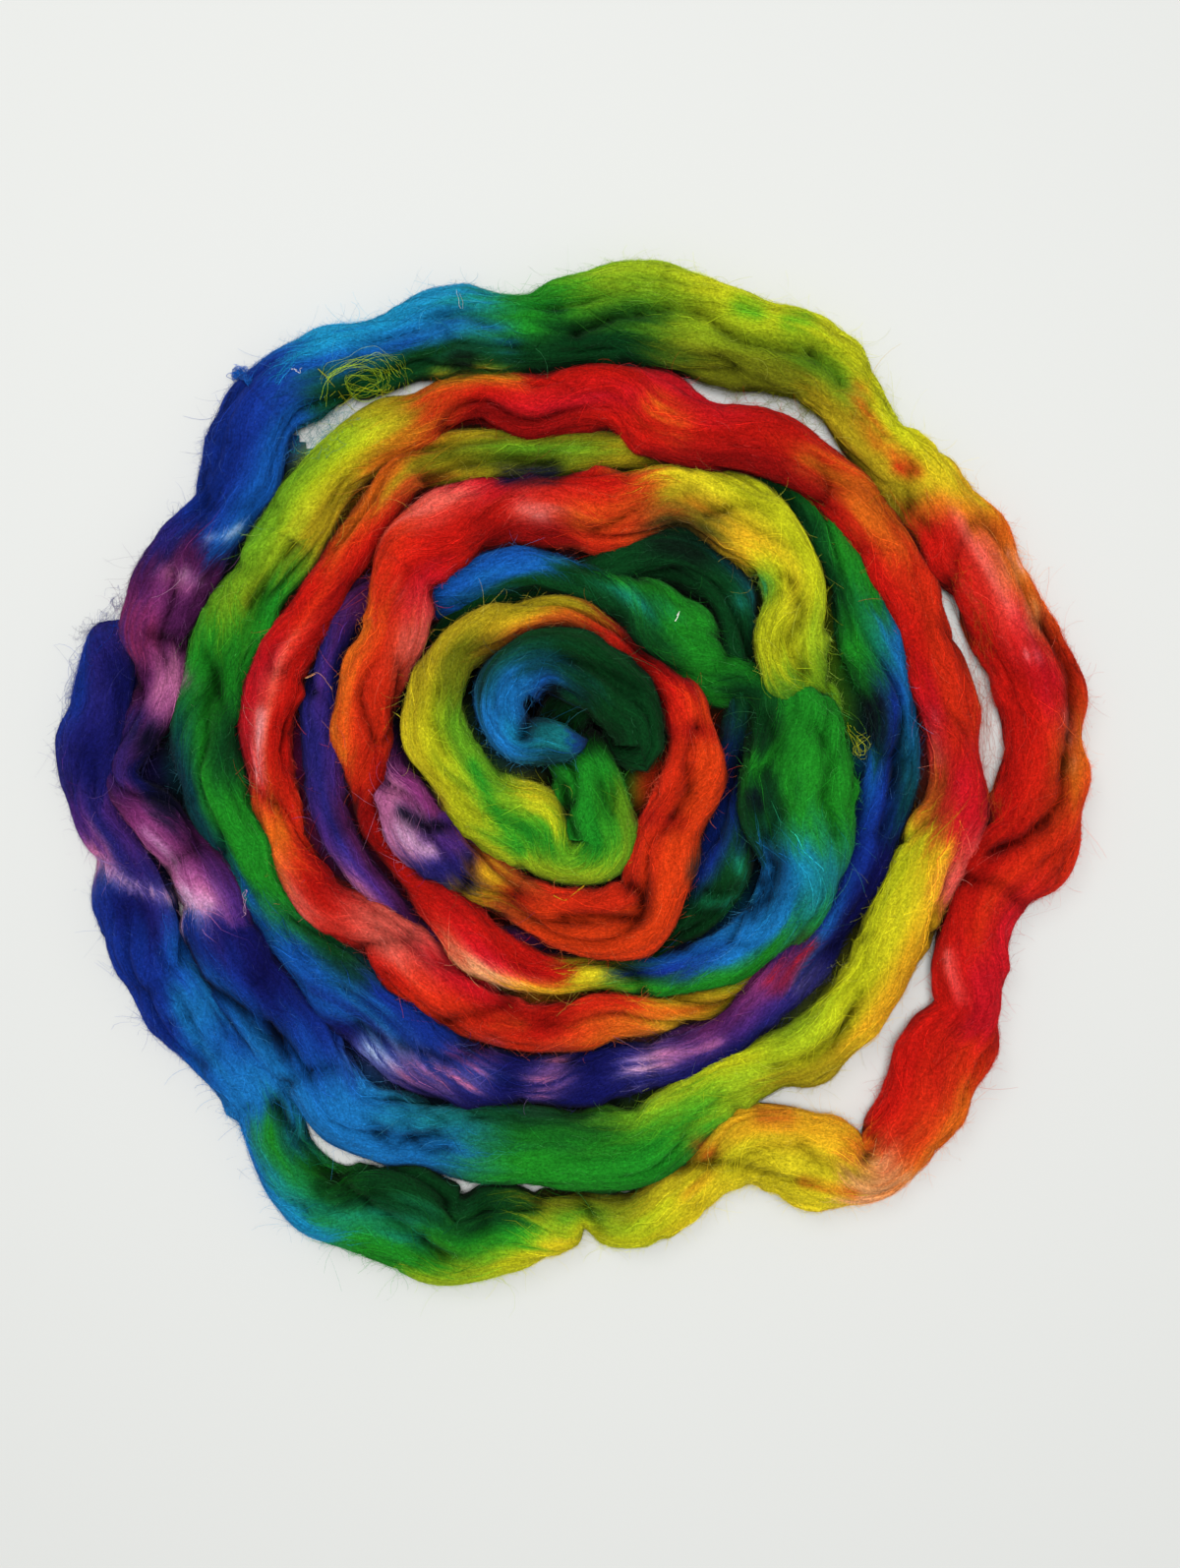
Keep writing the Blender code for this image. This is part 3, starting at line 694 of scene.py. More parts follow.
# Loose fibres that lie across the wool where they catch the eye: which dye, how many
# together, how far apart they stray, how wide each is, how high they rise, and their line.
Wisp = namedtuple("Wisp", "dye count stray width rise line")
WISPS = table(Wisp, [
    ("blue", 70, 2.2, 0.24, 6, [
        (-150, 178), (-153, 183), (-157, 187), (-160, 185), (-157, 181), (-153, 183)]),
    ("lime", 2, 0.8, 0.3, 3, [(-118, 183), (-112, 177), (-106, 169), (-100, 164)]),
    ("chartreuse", 10, 3, 0.11, 4, [
        (-112, 180), (-104, 187), (-92, 188), (-84, 181), (-90, 173), (-102, 173), (-108, 179),
        (-100, 184), (-90, 180)]),
    ("chartreuse", 8, 4.5, 0.10, 4, [(-116, 172), (-108, 182), (-94, 190), (-80, 184), (-76, 176)]),
    ("lime", 5, 4, 0.10, 4, [(-110, 168), (-98, 176), (-86, 172), (-80, 180), (-90, 186)]),
    ("white", 2, 1, 0.16, 2, [(-130, 184), (-127, 182), (-125, 184)]),
    ("white", 2, 1, 0.14, 3, [(-57, 229), (-55, 220), (-52, 211)]),
    ("white", 2, 0.3, 0.3, 6, [(45, 67), (46, 69), (47, 71)]),
    ("gold", 2, 0.3, 0.3, 7, [(-10, -57), (-5, -60), (4, -53)]),
    ("gold", 1, 0.3, 0.2, 6, [(15, -51), (20, -46), (26, -42)]),
    ("peach", 2, 0.4, 0.16, 9, [(-124, 42), (-119, 45), (-115, 42), (-112, 37)]),
    ("pale_pink", 3, 1.5, 0.16, 2, [(-152, -55), (-151, -61), (-152, -67)]),
    ("lime", 7, 2.5, 0.10, 5, [(126, 20), (130, 13), (134, 10), (132, 6), (129, 10), (134, 14)]),
    ("rust", 60, 5, 0.10, 2, [(176, 90), (184, 68), (189, 40), (192, 10), (193, -22)]),
    ("olive", 40, 8, 0.12, 3, [(70, 172), (90, 172), (104, 170), (110, 158)]),
    ("teal", 30, 8, 0.12, 3, [(-124, 150), (-116, 160), (-106, 168)]),
    ("indigo", 24, 6, 0.10, 4, [(-214, 50), (-219, 66), (-212, 74), (-216, 80)]),
    ("indigo", 16, 6, 0.10, 4, [(-212, 56), (-222, 68), (-226, 62), (-230, 68)]),
    ("royal", 30, 6, 0.14, 4, [(-216, 66), (-226, 52), (-234, 38), (-232, 24)]),
    ("cyan", 12, 4, 0.16, 3, [(-118, 196), (-128, 190), (-138, 178)]),
])

NOISE_ROWS = 256  # rows and columns in each table of random numbers behind the noise
noise_tables = {}


def grain(seed, u, v):
    """Smooth noise between -1 and 1 over two coordinates, the same in every run."""
    if seed not in noise_tables:
        numbers = np.random.default_rng(seed).uniform(-1.0, 1.0, (NOISE_ROWS, NOISE_ROWS))
        noise_tables[seed] = numbers
    table = noise_tables[seed]
    u, v = np.broadcast_arrays(u, v)
    i = np.floor(u).astype(int)
    j = np.floor(v).astype(int)
    s, t = smooth_step(u - i), smooth_step(v - j)
    i, j, i_next, j_next = i % NOISE_ROWS, j % NOISE_ROWS, (i + 1) % NOISE_ROWS, (j + 1) % NOISE_ROWS
    low = table[i, j] * (1 - t) + table[i, j_next] * t
    high = table[i_next, j] * (1 - t) + table[i_next, j_next] * t
    return low * (1 - s) + high * s


def smooth_step(share):
    """A share from 0 to 1 that leaves and arrives gently."""
    return share * share * (3 - 2 * share)


def ripple(pattern, gone, lane):
    """One noise pattern at distances along the strand and at lanes across it."""
    return pattern.most * grain(pattern.seed, gone / pattern.along, lane / pattern.across)


def linear(name):
    """Scene colour of one of the named dyes and painted-light colours."""
    rgb = np.array(DYE_AND_PAINTED_LIGHT_COLOURS[name], float) / 255
    return np.where(rgb <= 0.04045, rgb / 12.92, ((rgb + 0.055) / 1.055) ** 2.4)


def ink(name):
    """A dye in logarithms, in which dyes mix as inks do."""
    return np.log(linear(name) + INK_FLOOR)


def distance_to_line(points, line):
    """Shortest distance from each of points to a line of straight runs, seen from above."""
    nearest = np.full(len(points), np.inf)
    for start, end in zip(np.array(line[:-1], float), np.array(line[1:], float)):
        run = end - start
        along = np.clip((points - start) @ run / (run @ run), 0.0, 1.0)
        nearest = np.minimum(nearest, np.linalg.norm(points - start - along[:, None] * run, axis=1))
    return nearest


def close_to(points, line, reach):
    """True for the points within reach of the box round a line, seen from above."""
    corners = np.array(line, float)
    return np.all((points > corners.min(0) - reach) & (points < corners.max(0) + reach), axis=1)


def follow(stations, extra):
    """Smooth samples along the strand: x, y, lift, breadth, extra thickness, place in the tables."""
    rows = np.array([[*station[:4], more] for station, more in zip(stations, extra)], float)
    chords = np.linalg.norm(np.diff(rows[:, :2], axis=0), axis=1)
    knots = np.concatenate([[0.0], np.cumsum(chords)])
    slopes = np.gradient(rows, knots, axis=0)
    samples = []
    for i, chord in enumerate(chords):
        for t in np.arange(0.0, 1.0, PATH_STEP / chord):
            near = (2 * t**3 - 3 * t**2 + 1) * rows[i] + (t**3 - 2 * t**2 + t) * chord * slopes[i]
            far = (3 * t**2 - 2 * t**3) * rows[i + 1] + (t**3 - t**2) * chord * slopes[i + 1]
            samples.append([*(near + far), i + t])
    samples.append([*rows[-1], len(rows) - 1])
    return np.array(samples)


stations = [station for stretch in STRETCHES for station in stretch.stations]
extra = [stretch.extra_thickness for stretch in STRETCHES for _ in stretch.stations]
firsts = np.cumsum([0] + [len(stretch.stations) for stretch in STRETCHES])
route = follow(stations, extra)
travelled = np.concatenate([[0.0], np.cumsum(np.linalg.norm(np.diff(route[:, :2], axis=0), axis=1))])
whole_length = travelled[-1]
heading = np.gradient(route[:, :2], travelled, axis=0)
heading /= np.linalg.norm(heading, axis=1)[:, None]
lumps = [noise.noise(Vector((gone / LUMP_LENGTH, 0.0, LUMP_PATTERN))) for gone in travelled]
swelling = 1 + LUMP_SHARE * np.array(lumps)
station_inks = np.array([[ink(name) for name in (station.dyes.split() * 3)[:3]] for station in stations])

Place = namedtuple("Place", "x y lift breadth more row ahead_x ahead_y swell")


def at(gone):
    """The strand's own values at distances along it."""
    columns = [*route.T, *heading.T, swelling]
    return Place(*[np.interp(gone, travelled, column) for column in columns])


def thickness_at(place):
    """How thick the strand is, before its swellings."""
    return THIN_END + PLUMPNESS * place.breadth + place.more


def drift(gone, lane):
    """How far sideways the locks have wandered at a distance along the strand."""
    return ripple(WANDER, gone, lane) + ripple(FINE_WANDER, gone, lane)


def creases(gone, lane):
    """Depth of the sharp creases between the locks."""
    depth = 0.0
    for crease in CREASES:
        off_course = np.abs(ripple(crease.course, gone, lane))
        show = crease.shown
        if crease.patches:
            show = np.clip(show + ripple(crease.patches, gone, lane), 0.0, 1.0)
        depth = depth + crease.depth * np.exp(-off_course / crease.stray) * show
    return depth


def relief(gone, lane):
    """Height of the skin's locks above the strand's own form. A lane runs along with the fibres."""
    kinked = np.clip(KINKS_SHOWN + ripple(KINK_PATCHES, gone, lane), 0.0, 1.0)
    kinks = ripple(KINKS, gone, lane) * kinked
    return ripple(LOCKS, gone, lane) + ripple(STRANDS, gone, lane) + kinks - creases(gone, lane) + PUFF


def in_stretch(name, row):
    """True for the rows of the tables that belong to a stretch."""
    number = [stretch.name for stretch in STRETCHES].index(name)
    return (row >= firsts[number]) & (row < firsts[number + 1])


def fold_depth(row, points):
    """Depth of the charted folds at points seen from above."""
    depth = np.zeros(len(points))
    wobble = ripple(FOLD_WOBBLE, points[:, 0], points[:, 1])
    for fold in FOLDS:
        box = close_to(points, fold.line, FOLD_REACH * fold.half_width)
        near = np.flatnonzero(in_stretch(fold.stretch, row) & box)
        away = np.abs(distance_to_line(points[near], fold.line) + wobble[near])
        depth[near] += fold.depth * np.exp(-away / fold.half_width)
    return depth


def knob_height(row, points):
    """Height of the bulging lobes at points seen from above."""
    height = np.zeros(len(points))
    for knob in KNOBS:
        away = np.hypot(points[:, 0] - knob.x, points[:, 1] - knob.y)
        height += knob.height * np.exp(-((away / knob.radius) ** 2)) * in_stretch(knob.stretch, row)
    return height


def skin(gone, angle, proud=0.0):
    """Points on the strand, proud of its skin by so much, and each one's side and lane.

    A side is -1 at the outer edge and 1 at the inner one.
    """
    place = at(gone)
    from_end = np.clip(np.minimum(gone, whole_length - gone) / BLUNT_END, 0.0, 1.0)
    rounding = np.maximum(np.sqrt(1 - (1 - from_end) ** 2), TIP_SHARE)
    cos, sin = np.cos(angle), np.sin(angle)
    edge = 1 + ripple(EDGE_WAVES, gone, np.where(cos > 0, *EDGE_LANES))
    half = place.breadth / 2 * place.swell * rounding
    thickness = thickness_at(place) * place.swell * rounding
    side = np.sign(cos) * np.abs(cos) ** SQUARENESS
    rise = np.sign(sin) * np.abs(sin) ** SQUARENESS
    depth = np.where(rise > 0, (1 - BELLY) * thickness, BELLY * thickness + SETTLE)
    out_across, out_up = cos / half, sin / depth
    size = np.hypot(out_across, out_up)
    out_across, out_up = out_across / size, out_up / size
    arc = angle * (half + depth) / 2
    lane = arc - drift(gone, arc)
    lane = arc - drift(gone, lane)
    high = relief(gone, lane) * rounding + proud
    across = half * side * edge + high * out_across
    up = np.maximum(place.lift, 0.0) + BELLY * thickness + rise * depth + high * out_up
    points = np.stack([place.x - place.ahead_y * across, place.y + place.ahead_x * across, up], -1)
    flat = points.reshape(-1, 3)
    row = np.broadcast_to(place.row, points.shape[:-1]).ravel()
    top = np.broadcast_to(rise > 0, points.shape[:-1]).ravel()
    flat[:, 2] += top * (knob_height(row, flat[:, :2]) - fold_depth(row, flat[:, :2]))
    points = flat.reshape(points.shape)
    points[..., 2] = np.maximum(points[..., 2], FLOOR_GAP)
    return points, side, lane


def dye(gone, side, lane, places):
    """Scene colours of the wool: dyes run into each other along the fibres and mix like inks, and
    overlay patches add dye, painted highlights and painted shadows.
    """
    shape = np.broadcast(gone, side, lane).shape
    gone = np.broadcast_to(gone, shape)
    seen = gone + ripple(DYE_RUN, gone, lane) + ripple(FINE_DYE_RUN, gone, lane)
    row = np.clip(np.interp(seen, travelled, route[:, 5]), 0, len(stations) - 1 - JUST_INSIDE)
    i = row.astype(int)
    t = smooth_step((row - i)[..., None])
    shifted = side + ripple(DYE_SPREAD, gone, lane) + ripple(FINE_DYE_SPREAD, gone, lane)
    column = np.clip(shifted / EDGE_DYE + 1, 0.0, 2 - JUST_INSIDE)
    j = column.astype(int)
    s = (column - j)[..., None]
    inks = (station_inks[i, j] * (1 - t) + station_inks[i + 1, j] * t) * (1 - s)
    inks += (station_inks[i, j + 1] * (1 - t) + station_inks[i + 1, j + 1] * t) * s
    flat = inks.reshape(-1, 3)
    spots = places.reshape(-1, 3)[:, :2]
    grip = (OVERLAY_HOLD + ripple(OVERLAY_GRIP, gone, lane)).ravel()
    # overlay patches: dye, painted highlights and painted shadows, mixed in like inks
    for overlay in DYE_AND_PAINTED_LIGHT_PATCHES:
        near = np.flatnonzero(close_to(spots, overlay.line, OVERLAY_REACH * overlay.half_width))
        away = distance_to_line(spots[near], overlay.line)
        share = overlay.strength * grip[near] * np.exp(-((away / overlay.half_width) ** 2))
        flat[near] += np.clip(share, 0, 1)[:, None] * (ink(overlay.dye) - flat[near])
    tone = ripple(TONE, gone, lane) + ripple(FINE_TONE, gone, lane)
    return np.exp(flat.reshape(inks.shape) + tone[..., None])


def painted_shade_and_glow(gone, side, lane, places):
    """Painted shade and glow that multiply the wool's colour: less light in creases, folds and hollows,
    and a painted glow on free rims.
    """
    row = np.broadcast_to(at(gone).row, places.shape[:-1]).ravel()
    folds = fold_depth(row, places.reshape(-1, 3)[:, :2]).reshape(places.shape[:-1])
    # painted shade down the creases and the folds
    kept = np.exp(-CREASE_SHADE * creases(gone, lane) - FOLD_SHADE * folds)
    # painted glow: free rims lightened as if light shone through their thin wool
    painted_glow = 1 + RIM_PAINTED_GLOW * (1 - read_map(cover, places)) * np.abs(side) ** RIM_SHARPNESS
    return (kept * painted_glow)[..., None] * painted_hollow_shade(places)


def blurred(heights, spread):
    """Heights smoothed over a spread given in millimetres."""
    reach = int(3 * spread / HOLLOW_CELL)
    weights = np.exp(-0.5 * (np.arange(-reach, reach + 1) * HOLLOW_CELL / spread) ** 2)
    weights /= weights.sum()
    for axis in (0, 1):
        heights = np.apply_along_axis(np.convolve, axis, heights, weights, "same")
    return heights


def upper_side(spacing, sides):
    """An even grid of distances and angles over the strand's upper side."""
    gone = np.arange(CLEAR_OF_TIP, whole_length - CLEAR_OF_TIP, spacing)
    return np.meshgrid(gone, np.linspace(0, np.pi, sides), indexing="ij")


def height_maps():
    """The wool's height seen from above, smoothed finely and coarsely, and how closely wool
    surrounds each place, from 0 to 1."""
    cells = int(2 * HOLLOW_REACH / HOLLOW_CELL)
    heights = np.zeros((cells, cells))
    points = skin(*upper_side(*SURVEY))[0].reshape(-1, 3)
    i, j = ((points[:, :2] + HOLLOW_REACH) / HOLLOW_CELL).astype(int).T
    np.maximum.at(heights, (i, j), points[:, 2])
    covered = blurred((heights > COVER_HEIGHT) * 1.0, COVER_BLUR)
    around = np.clip((covered - FREE_COVER) / COVER_RANGE, 0.0, 1.0)
    return [blurred(heights, spread) for spread in HOLLOW_BLURS], around


def cell_of(points):
    """Whole and broken cell numbers of points in the maps, one row a point."""
    places = (points.reshape(-1, 3)[:, :2] + HOLLOW_REACH) / HOLLOW_CELL - 0.5
    whole = places.astype(int)
    return whole[:, 0], whole[:, 1], places[:, 0] - whole[:, 0], places[:, 1] - whole[:, 1]


def read_map(heights, points):
    """The value of a map at each point."""
    i, j, s, t = cell_of(points)
    low = heights[i, j] * (1 - t) + heights[i, j + 1] * t
    high = heights[i + 1, j] * (1 - t) + heights[i + 1, j + 1] * t
    return (low * (1 - s) + high * s).reshape(points.shape[:-1])


def painted_hollow_shade(points):
    """Painted shade for wool at these points: the share of light it gets, little deep between the turns.
    """
    above = [read_map(heights, points) - points[..., 2] - HOLLOW_SLACK for heights in hollows]
    low = sum(np.maximum(height, 0.0) for height in above)
    closed = OPEN_SHADE + (1 - OPEN_SHADE) * read_map(cover, points)
    return np.exp(-HOLLOW_SHADE * low * closed)[..., None]


hollows, cover = height_maps()


def mesh_object(name, points, faces, colours, bake_map, material):
    """A mesh piece from arrays: points in millimetres, the corners of each face, and the colour, which
    is dye with painted light and shade, and the place in the bake map of each point."""
    mesh = bpy.data.meshes.new(name)
    mesh.vertices.add(len(points))
    mesh.vertices.foreach_set("co", ((points - (*MIDDLE, 0.0)) * MM).astype(np.float32).ravel())
    corners = np.concatenate([face.ravel() for face in faces])
    sizes = np.concatenate([np.full(len(face), face.shape[1]) for face in faces])
    mesh.loops.add(len(corners))
    mesh.loops.foreach_set("vertex_index", corners.astype(np.int32))
    mesh.polygons.add(len(sizes))
    starts = np.concatenate([[0], np.cumsum(sizes)[:-1]])
    mesh.polygons.foreach_set("loop_start", starts.astype(np.int32))
    mesh.polygons.foreach_set("use_smooth", np.ones(len(sizes), bool))
    mesh.update(calc_edges=True)
    # the colour attribute carries the dye with the painted light and shade multiplied in
    dye_light_and_shade = mesh.color_attributes.new("dye", "FLOAT_COLOR", "POINT")
    rgba = np.concatenate([colours, np.ones((len(colours), 1))], 1)
    dye_light_and_shade.data.foreach_set("color", rgba.astype(np.float32).ravel())
    layer = mesh.uv_layers.new(name="OFBake")
    layer.data.foreach_set("uv", bake_map[corners].astype(np.float32).ravel())
    mesh.materials.append(material)
    piece = bpy.data.objects.new(name, mesh)
    bpy.context.scene.collection.objects.link(piece)
    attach(piece, "root")
    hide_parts("roving")
    return piece


def quads_of(index):
    """The corners of each face of a grid of point numbers, or of a row of grids."""
    corners = [index[..., :-1, :-1], index[..., :-1, 1:], index[..., 1:, 1:], index[..., 1:, :-1]]
    return np.stack(corners, -1).reshape(-1, 4)


def side_map(u, angle):
    """Bake coordinates from places along the map and angles round the strand."""
    v = np.broadcast_to((angle / np.pi + MAP_DROP) / (1 + 2 * MAP_DROP), u.shape)
    return np.clip(np.stack([u, v], -1), 0.0, MAP_TOP)


def skin_piece(name, start, end, material):
    """One stretch of the strand's skin, closed at both ends."""
    gone = np.linspace(start, end, int((end - start) / RING_STEP) + 2)
    first, last = np.multiply(TOP_ANGLES, np.pi)
    low = np.linspace(-0.5 * np.pi, first, LOW_SIDES // 2, endpoint=False)
    top = np.linspace(first, last, TOP_SIDES, endpoint=False)
    far = np.linspace(last, 1.5 * np.pi, LOW_SIDES // 2)
    g, a = np.meshgrid(gone, np.concatenate([low, top, far]), indexing="ij")
    points, side, lane = skin(g, a)
    # the dye with painted shade and painted rim glow multiplied in
    colours = (dye(g, side, lane, points) * painted_shade_and_glow(g, side, lane, points)).reshape(-1, 3)
    rings, sides = g.shape
    index = np.arange(rings * sides).reshape(rings, sides)
    caps = np.stack([index[0, ::-1], index[-1]])
    u = np.broadcast_to(np.linspace(MAP_EDGE, 1 - MAP_EDGE, rings)[:, None], g.shape)
    v = np.broadcast_to(np.linspace(MAP_EDGE, 1 - MAP_EDGE, sides)[None, :], g.shape)
    bake_map = np.stack([u, v], -1).reshape(-1, 2)
    faces = [quads_of(index), caps]
    piece = mesh_object(name, points.reshape(-1, 3), faces, colours, bake_map, material)
    strand = piece.data.attributes.new("strand", "FLOAT_VECTOR", "POINT")
    values = np.stack([g, lane, np.zeros_like(g)], -1)
    strand.data.foreach_set("vector", values.astype(np.float32).ravel())
    return piece


def ribbons(name, paths, across, widths, colours, bake_map, material):
    """Thin flat fibres: paths, side directions and widths for each point of each fibre."""
    count, steps, _ = paths.shape
    offset = across * widths[..., None] / 2
    points = np.stack([paths - offset, paths + offset], 2)
    points[..., 2] = np.maximum(points[..., 2], FIBRE_LOWEST)
    index = np.arange(count * steps * 2).reshape(count, steps, 2)
    both = np.repeat(colours.reshape(-1, 3), 2, 0)
    maps = np.repeat(bake_map.reshape(-1, 2), 2, 0)
    maps[1::2, 1] += MAP_STRIP
    return mesh_object(name, points.reshape(-1, 3), [quads_of(index)], both, maps, material)


def inside(points, corners):
    """True for each point that a closed line of corners goes round."""
    x, y = points[:, 0], points[:, 1]
    odd = np.zeros(len(points), bool)
    for (ax, ay), (bx, by) in zip(corners, corners[1:] + corners[:1]):
        crosses = (ay > y) != (by > y)
        with np.errstate(divide="ignore", invalid="ignore"):
            odd ^= crosses & (x < (bx - ax) * (y - ay) / (by - ay) + ax)
    return odd


def bed_piece(name, material):
    """The wool that lies under the inner turns, darkened with painted shade so that it shows dark
    between them.
    """
    line = np.arange(-BED_REACH, BED_REACH, BED_GRAIN)
    x, y = np.meshgrid(line, line, indexing="ij")
    flat = np.stack([x.ravel(), y.ravel()], 1)
    used = inside(flat, [(station.x, station.y) for station in SECOND_TURN])
    quads = quads_of(np.arange(x.size).reshape(x.shape).T)
    kept, quads = np.unique(quads[used[quads].all(1)], return_inverse=True)
    points = np.stack([*flat[kept].T, np.zeros(len(kept))], 1)
    bumps = ripple(BED_LUMPS, points[:, 0], points[:, 1])
    points[:, 2] = np.clip(BED_RISE * read_map(hollows[1], points) + bumps, *BED_HEIGHTS)
    # painted shade: part of the nearby colour, darker still deep between the turns
    colours = BED_PAINTED_SHADE * nearby_dye_and_painted_light(points) * painted_hollow_shade(points)
    bake_map = points[:, :2] / (2 * BED_REACH) + 0.5
    return mesh_object(name, points, [quads.reshape(-1, 4)], colours, bake_map, material)


def nearby_dye_and_painted_light(points):
    """The colour of the wool around each point, seen from above: dye with its painted shade and glow."""
    gone, angle = upper_side(*DYE_SURVEY)
    places, side, lane = skin(gone, angle)
    colours = (dye(gone, side, lane, places) * painted_shade_and_glow(gone, side, lane, places)).reshape(-1, 3)
    i, j, _, _ = cell_of(places)
    totals = []
    for values in (np.ones(len(colours)), *colours.T):
        total = np.zeros_like(cover)
        np.add.at(total, (i, j), values)
        totals.append(blurred(total, DYE_BLUR))
    spread = totals[0] + NO_WOOL
    return np.stack([read_map(total / spread, points) for total in totals[1:]], -1)


def unit(vectors):
    """Vectors of length 1 in the same directions."""
    return vectors / np.maximum(np.linalg.norm(vectors, axis=-1, keepdims=True), NO_LENGTH)


def draw(random, limits, count):
    """A column of even random numbers between two limits."""
    return random.uniform(*limits, count)[:, None]


def fibre_piece(name, start, end, material, random):
    """Fine fibres laid along the strand's skin, each sinking into it at both ends."""
    count = int((end - start) * FIBRES_PER_MM)
    length = SHORTEST_FIBRE + random.gamma(*FIBRE_SPREAD, count).clip(0, FIBRE_MOST_MORE)
    begin = random.uniform(start - FIBRE_LEAD, end - FIBRE_LEAD, count)
    t = np.linspace(0, 1, FIBRE_STEPS)
    gone = begin[:, None] + length[:, None] * t
    gone = np.clip(gone, CLEAR_OF_TIP, whole_length - CLEAR_OF_TIP)
    angle = draw(random, np.multiply(FIBRE_ANGLES, np.pi), count)
    place = at(gone)
    girth = (place.breadth / 2 + thickness_at(place) * FIBRE_ROUND) / 2
    lane = angle * girth.mean(1)[:, None]
    slope = random.choice(FIBRE_SLANTS, (count, 1)) * random.normal(0, 1.0, (count, 1))
    slant = slope * (gone - gone.mean(1)[:, None])
    crimp = draw(random, FIBRE_CRIMP, count)
    crimp = crimp * np.sin(gone / draw(random, FIBRE_WAVE, count) + draw(random, (0, 6), count))
    angles = (lane + drift(gone, lane) + slant + crimp) / girth
    angles = np.clip(angles, -MAP_DROP * np.pi, (1 + MAP_DROP) * np.pi)
    height = random.gamma(*FIBRE_HEIGHTS, count)[:, None]
    sink = np.minimum(1, np.minimum(t, 1 - t) * FIBRE_SINK_RATE)
    proud = height * sink + FIBRE_CLEARANCE - FIBRE_SINK * (1 - sink)
    paths, side, lanes = skin(gone, angles, proud)
    above, _, _ = skin(gone, angles, proud + 1.0)
    out = unit(above - paths)
    ahead = unit(np.gradient(paths, axis=1))
    across = unit(np.cross(ahead, out))
    roll = draw(random, (-FIBRE_ROLL, FIBRE_ROLL), count)[..., None]
    across = across * np.cos(roll) + out * np.sin(roll)
    widths = draw(random, FIBRE_WIDTHS, count) * (FIBRE_TIP + (1 - FIBRE_TIP) * sink)
    shifts = [random.normal(0, spread, count)[:, None] for spread in FIBRE_DYE_SHIFT]
    colours = dye(gone + shifts[0], side, lanes + shifts[1], paths)
    # each fibre's random tone, then painted shade and painted rim glow
    colours *= np.exp(random.normal(*FIBRE_TONE, count))[:, None, None] * painted_shade_and_glow(gone, side, lanes, paths)
    u = (gone - start + FIBRE_MAP_MARGINS[0]) / (end - start + sum(FIBRE_MAP_MARGINS))
    return ribbons(name, paths, across, widths, colours, side_map(u, angles), material)


def hair_piece(name, start, end, hairs, material, random):
    """Loose hairs that stand off the strand and curl over."""
    count = int((end - start) * hairs.a_millimetre)
    gone = random.uniform(start, end, count)
    at_edge = random.random(count) < hairs.edge_share
    edges = random.choice([0.0, 1.0], count) + random.normal(0, HAIR_EDGE_SPREAD, count)
    angle = np.where(at_edge, edges, random.uniform(*HAIR_LEVELS, count)) * np.pi
    root, side, lane = skin(gone, angle, HAIR_ROOT)
    kept = random.random(count) > HAIRS_LOST * at_edge * read_map(cover, root)
    gone, angle, root, side, lane = (values[kept] for values in (gone, angle, root, side, lane))
    count = len(gone)
    above, _, _ = skin(gone, angle, HAIR_ROOT + 1.0)
    out = unit(above - root)
    place = at(gone)
    way = random.choice([-1.0, 1.0], count)[:, None]
    ahead = np.stack([place.ahead_x, place.ahead_y, np.zeros(count)], -1) * way
    aside = np.cross(ahead, out)
    lean = draw(random, HAIR_LEAN, count)
    turn = random.normal(0, HAIR_TURN, count)[:, None]
    level = ahead * np.cos(turn) * np.cos(lean) + aside * np.sin(turn) * np.cos(lean)
    going = unit(level + out * np.sin(lean))
    twist = random.normal(0, 1, (count, 3))
    axis = unit(twist + out * random.choice([-HAIR_TWIST, HAIR_TWIST], count)[:, None])
    curl = draw(random, HAIR_CURL, count)
    length = random.gamma(hairs.shape, hairs.scale, count).clip(hairs.shortest, hairs.longest)
    stride = (length / (hairs.steps - 1))[:, None]
    paths = [root]
    for _ in range(hairs.steps - 1):
        paths.append(paths[-1] + going * stride)
        going = unit(going + np.cross(axis, going) * curl - np.array([0, 0, HAIR_WEIGHT]))
        upwards = np.abs(going[:, 2]) * HAIR_TURN_UP[1]
        going[:, 2] = np.where(paths[-1][:, 2] < HAIR_TURN_UP[0], upwards, going[:, 2])
    paths = np.stack(paths, 1)
    paths[..., 2] = np.clip(paths[..., 2], *HAIR_HEIGHTS)
    ahead = unit(np.gradient(paths, axis=1))
    across = unit(np.cross(ahead, unit(random.normal(0, 1, (count, 1, 3)))))
    widths = draw(random, HAIR_WIDTHS, count) * np.linspace(1, HAIR_TIP, hairs.steps)
    painted_highlight = random.choice(HAIR_PAINTED_HIGHLIGHT, count)[:, None]
    # painted highlight by the lightening power, and painted shade deep between the turns
    colours = (dye(gone, side, lane, root) ** painted_highlight)[:, None, :] * painted_hollow_shade(paths)
    u = ((gone - start) / (end - start))[:, None] * HAIR_MAP[0]
    u = u + np.linspace(0, HAIR_MAP[1], hairs.steps)
    return ribbons(name, paths, across, widths, colours, side_map(u, angle[:, None]), material)


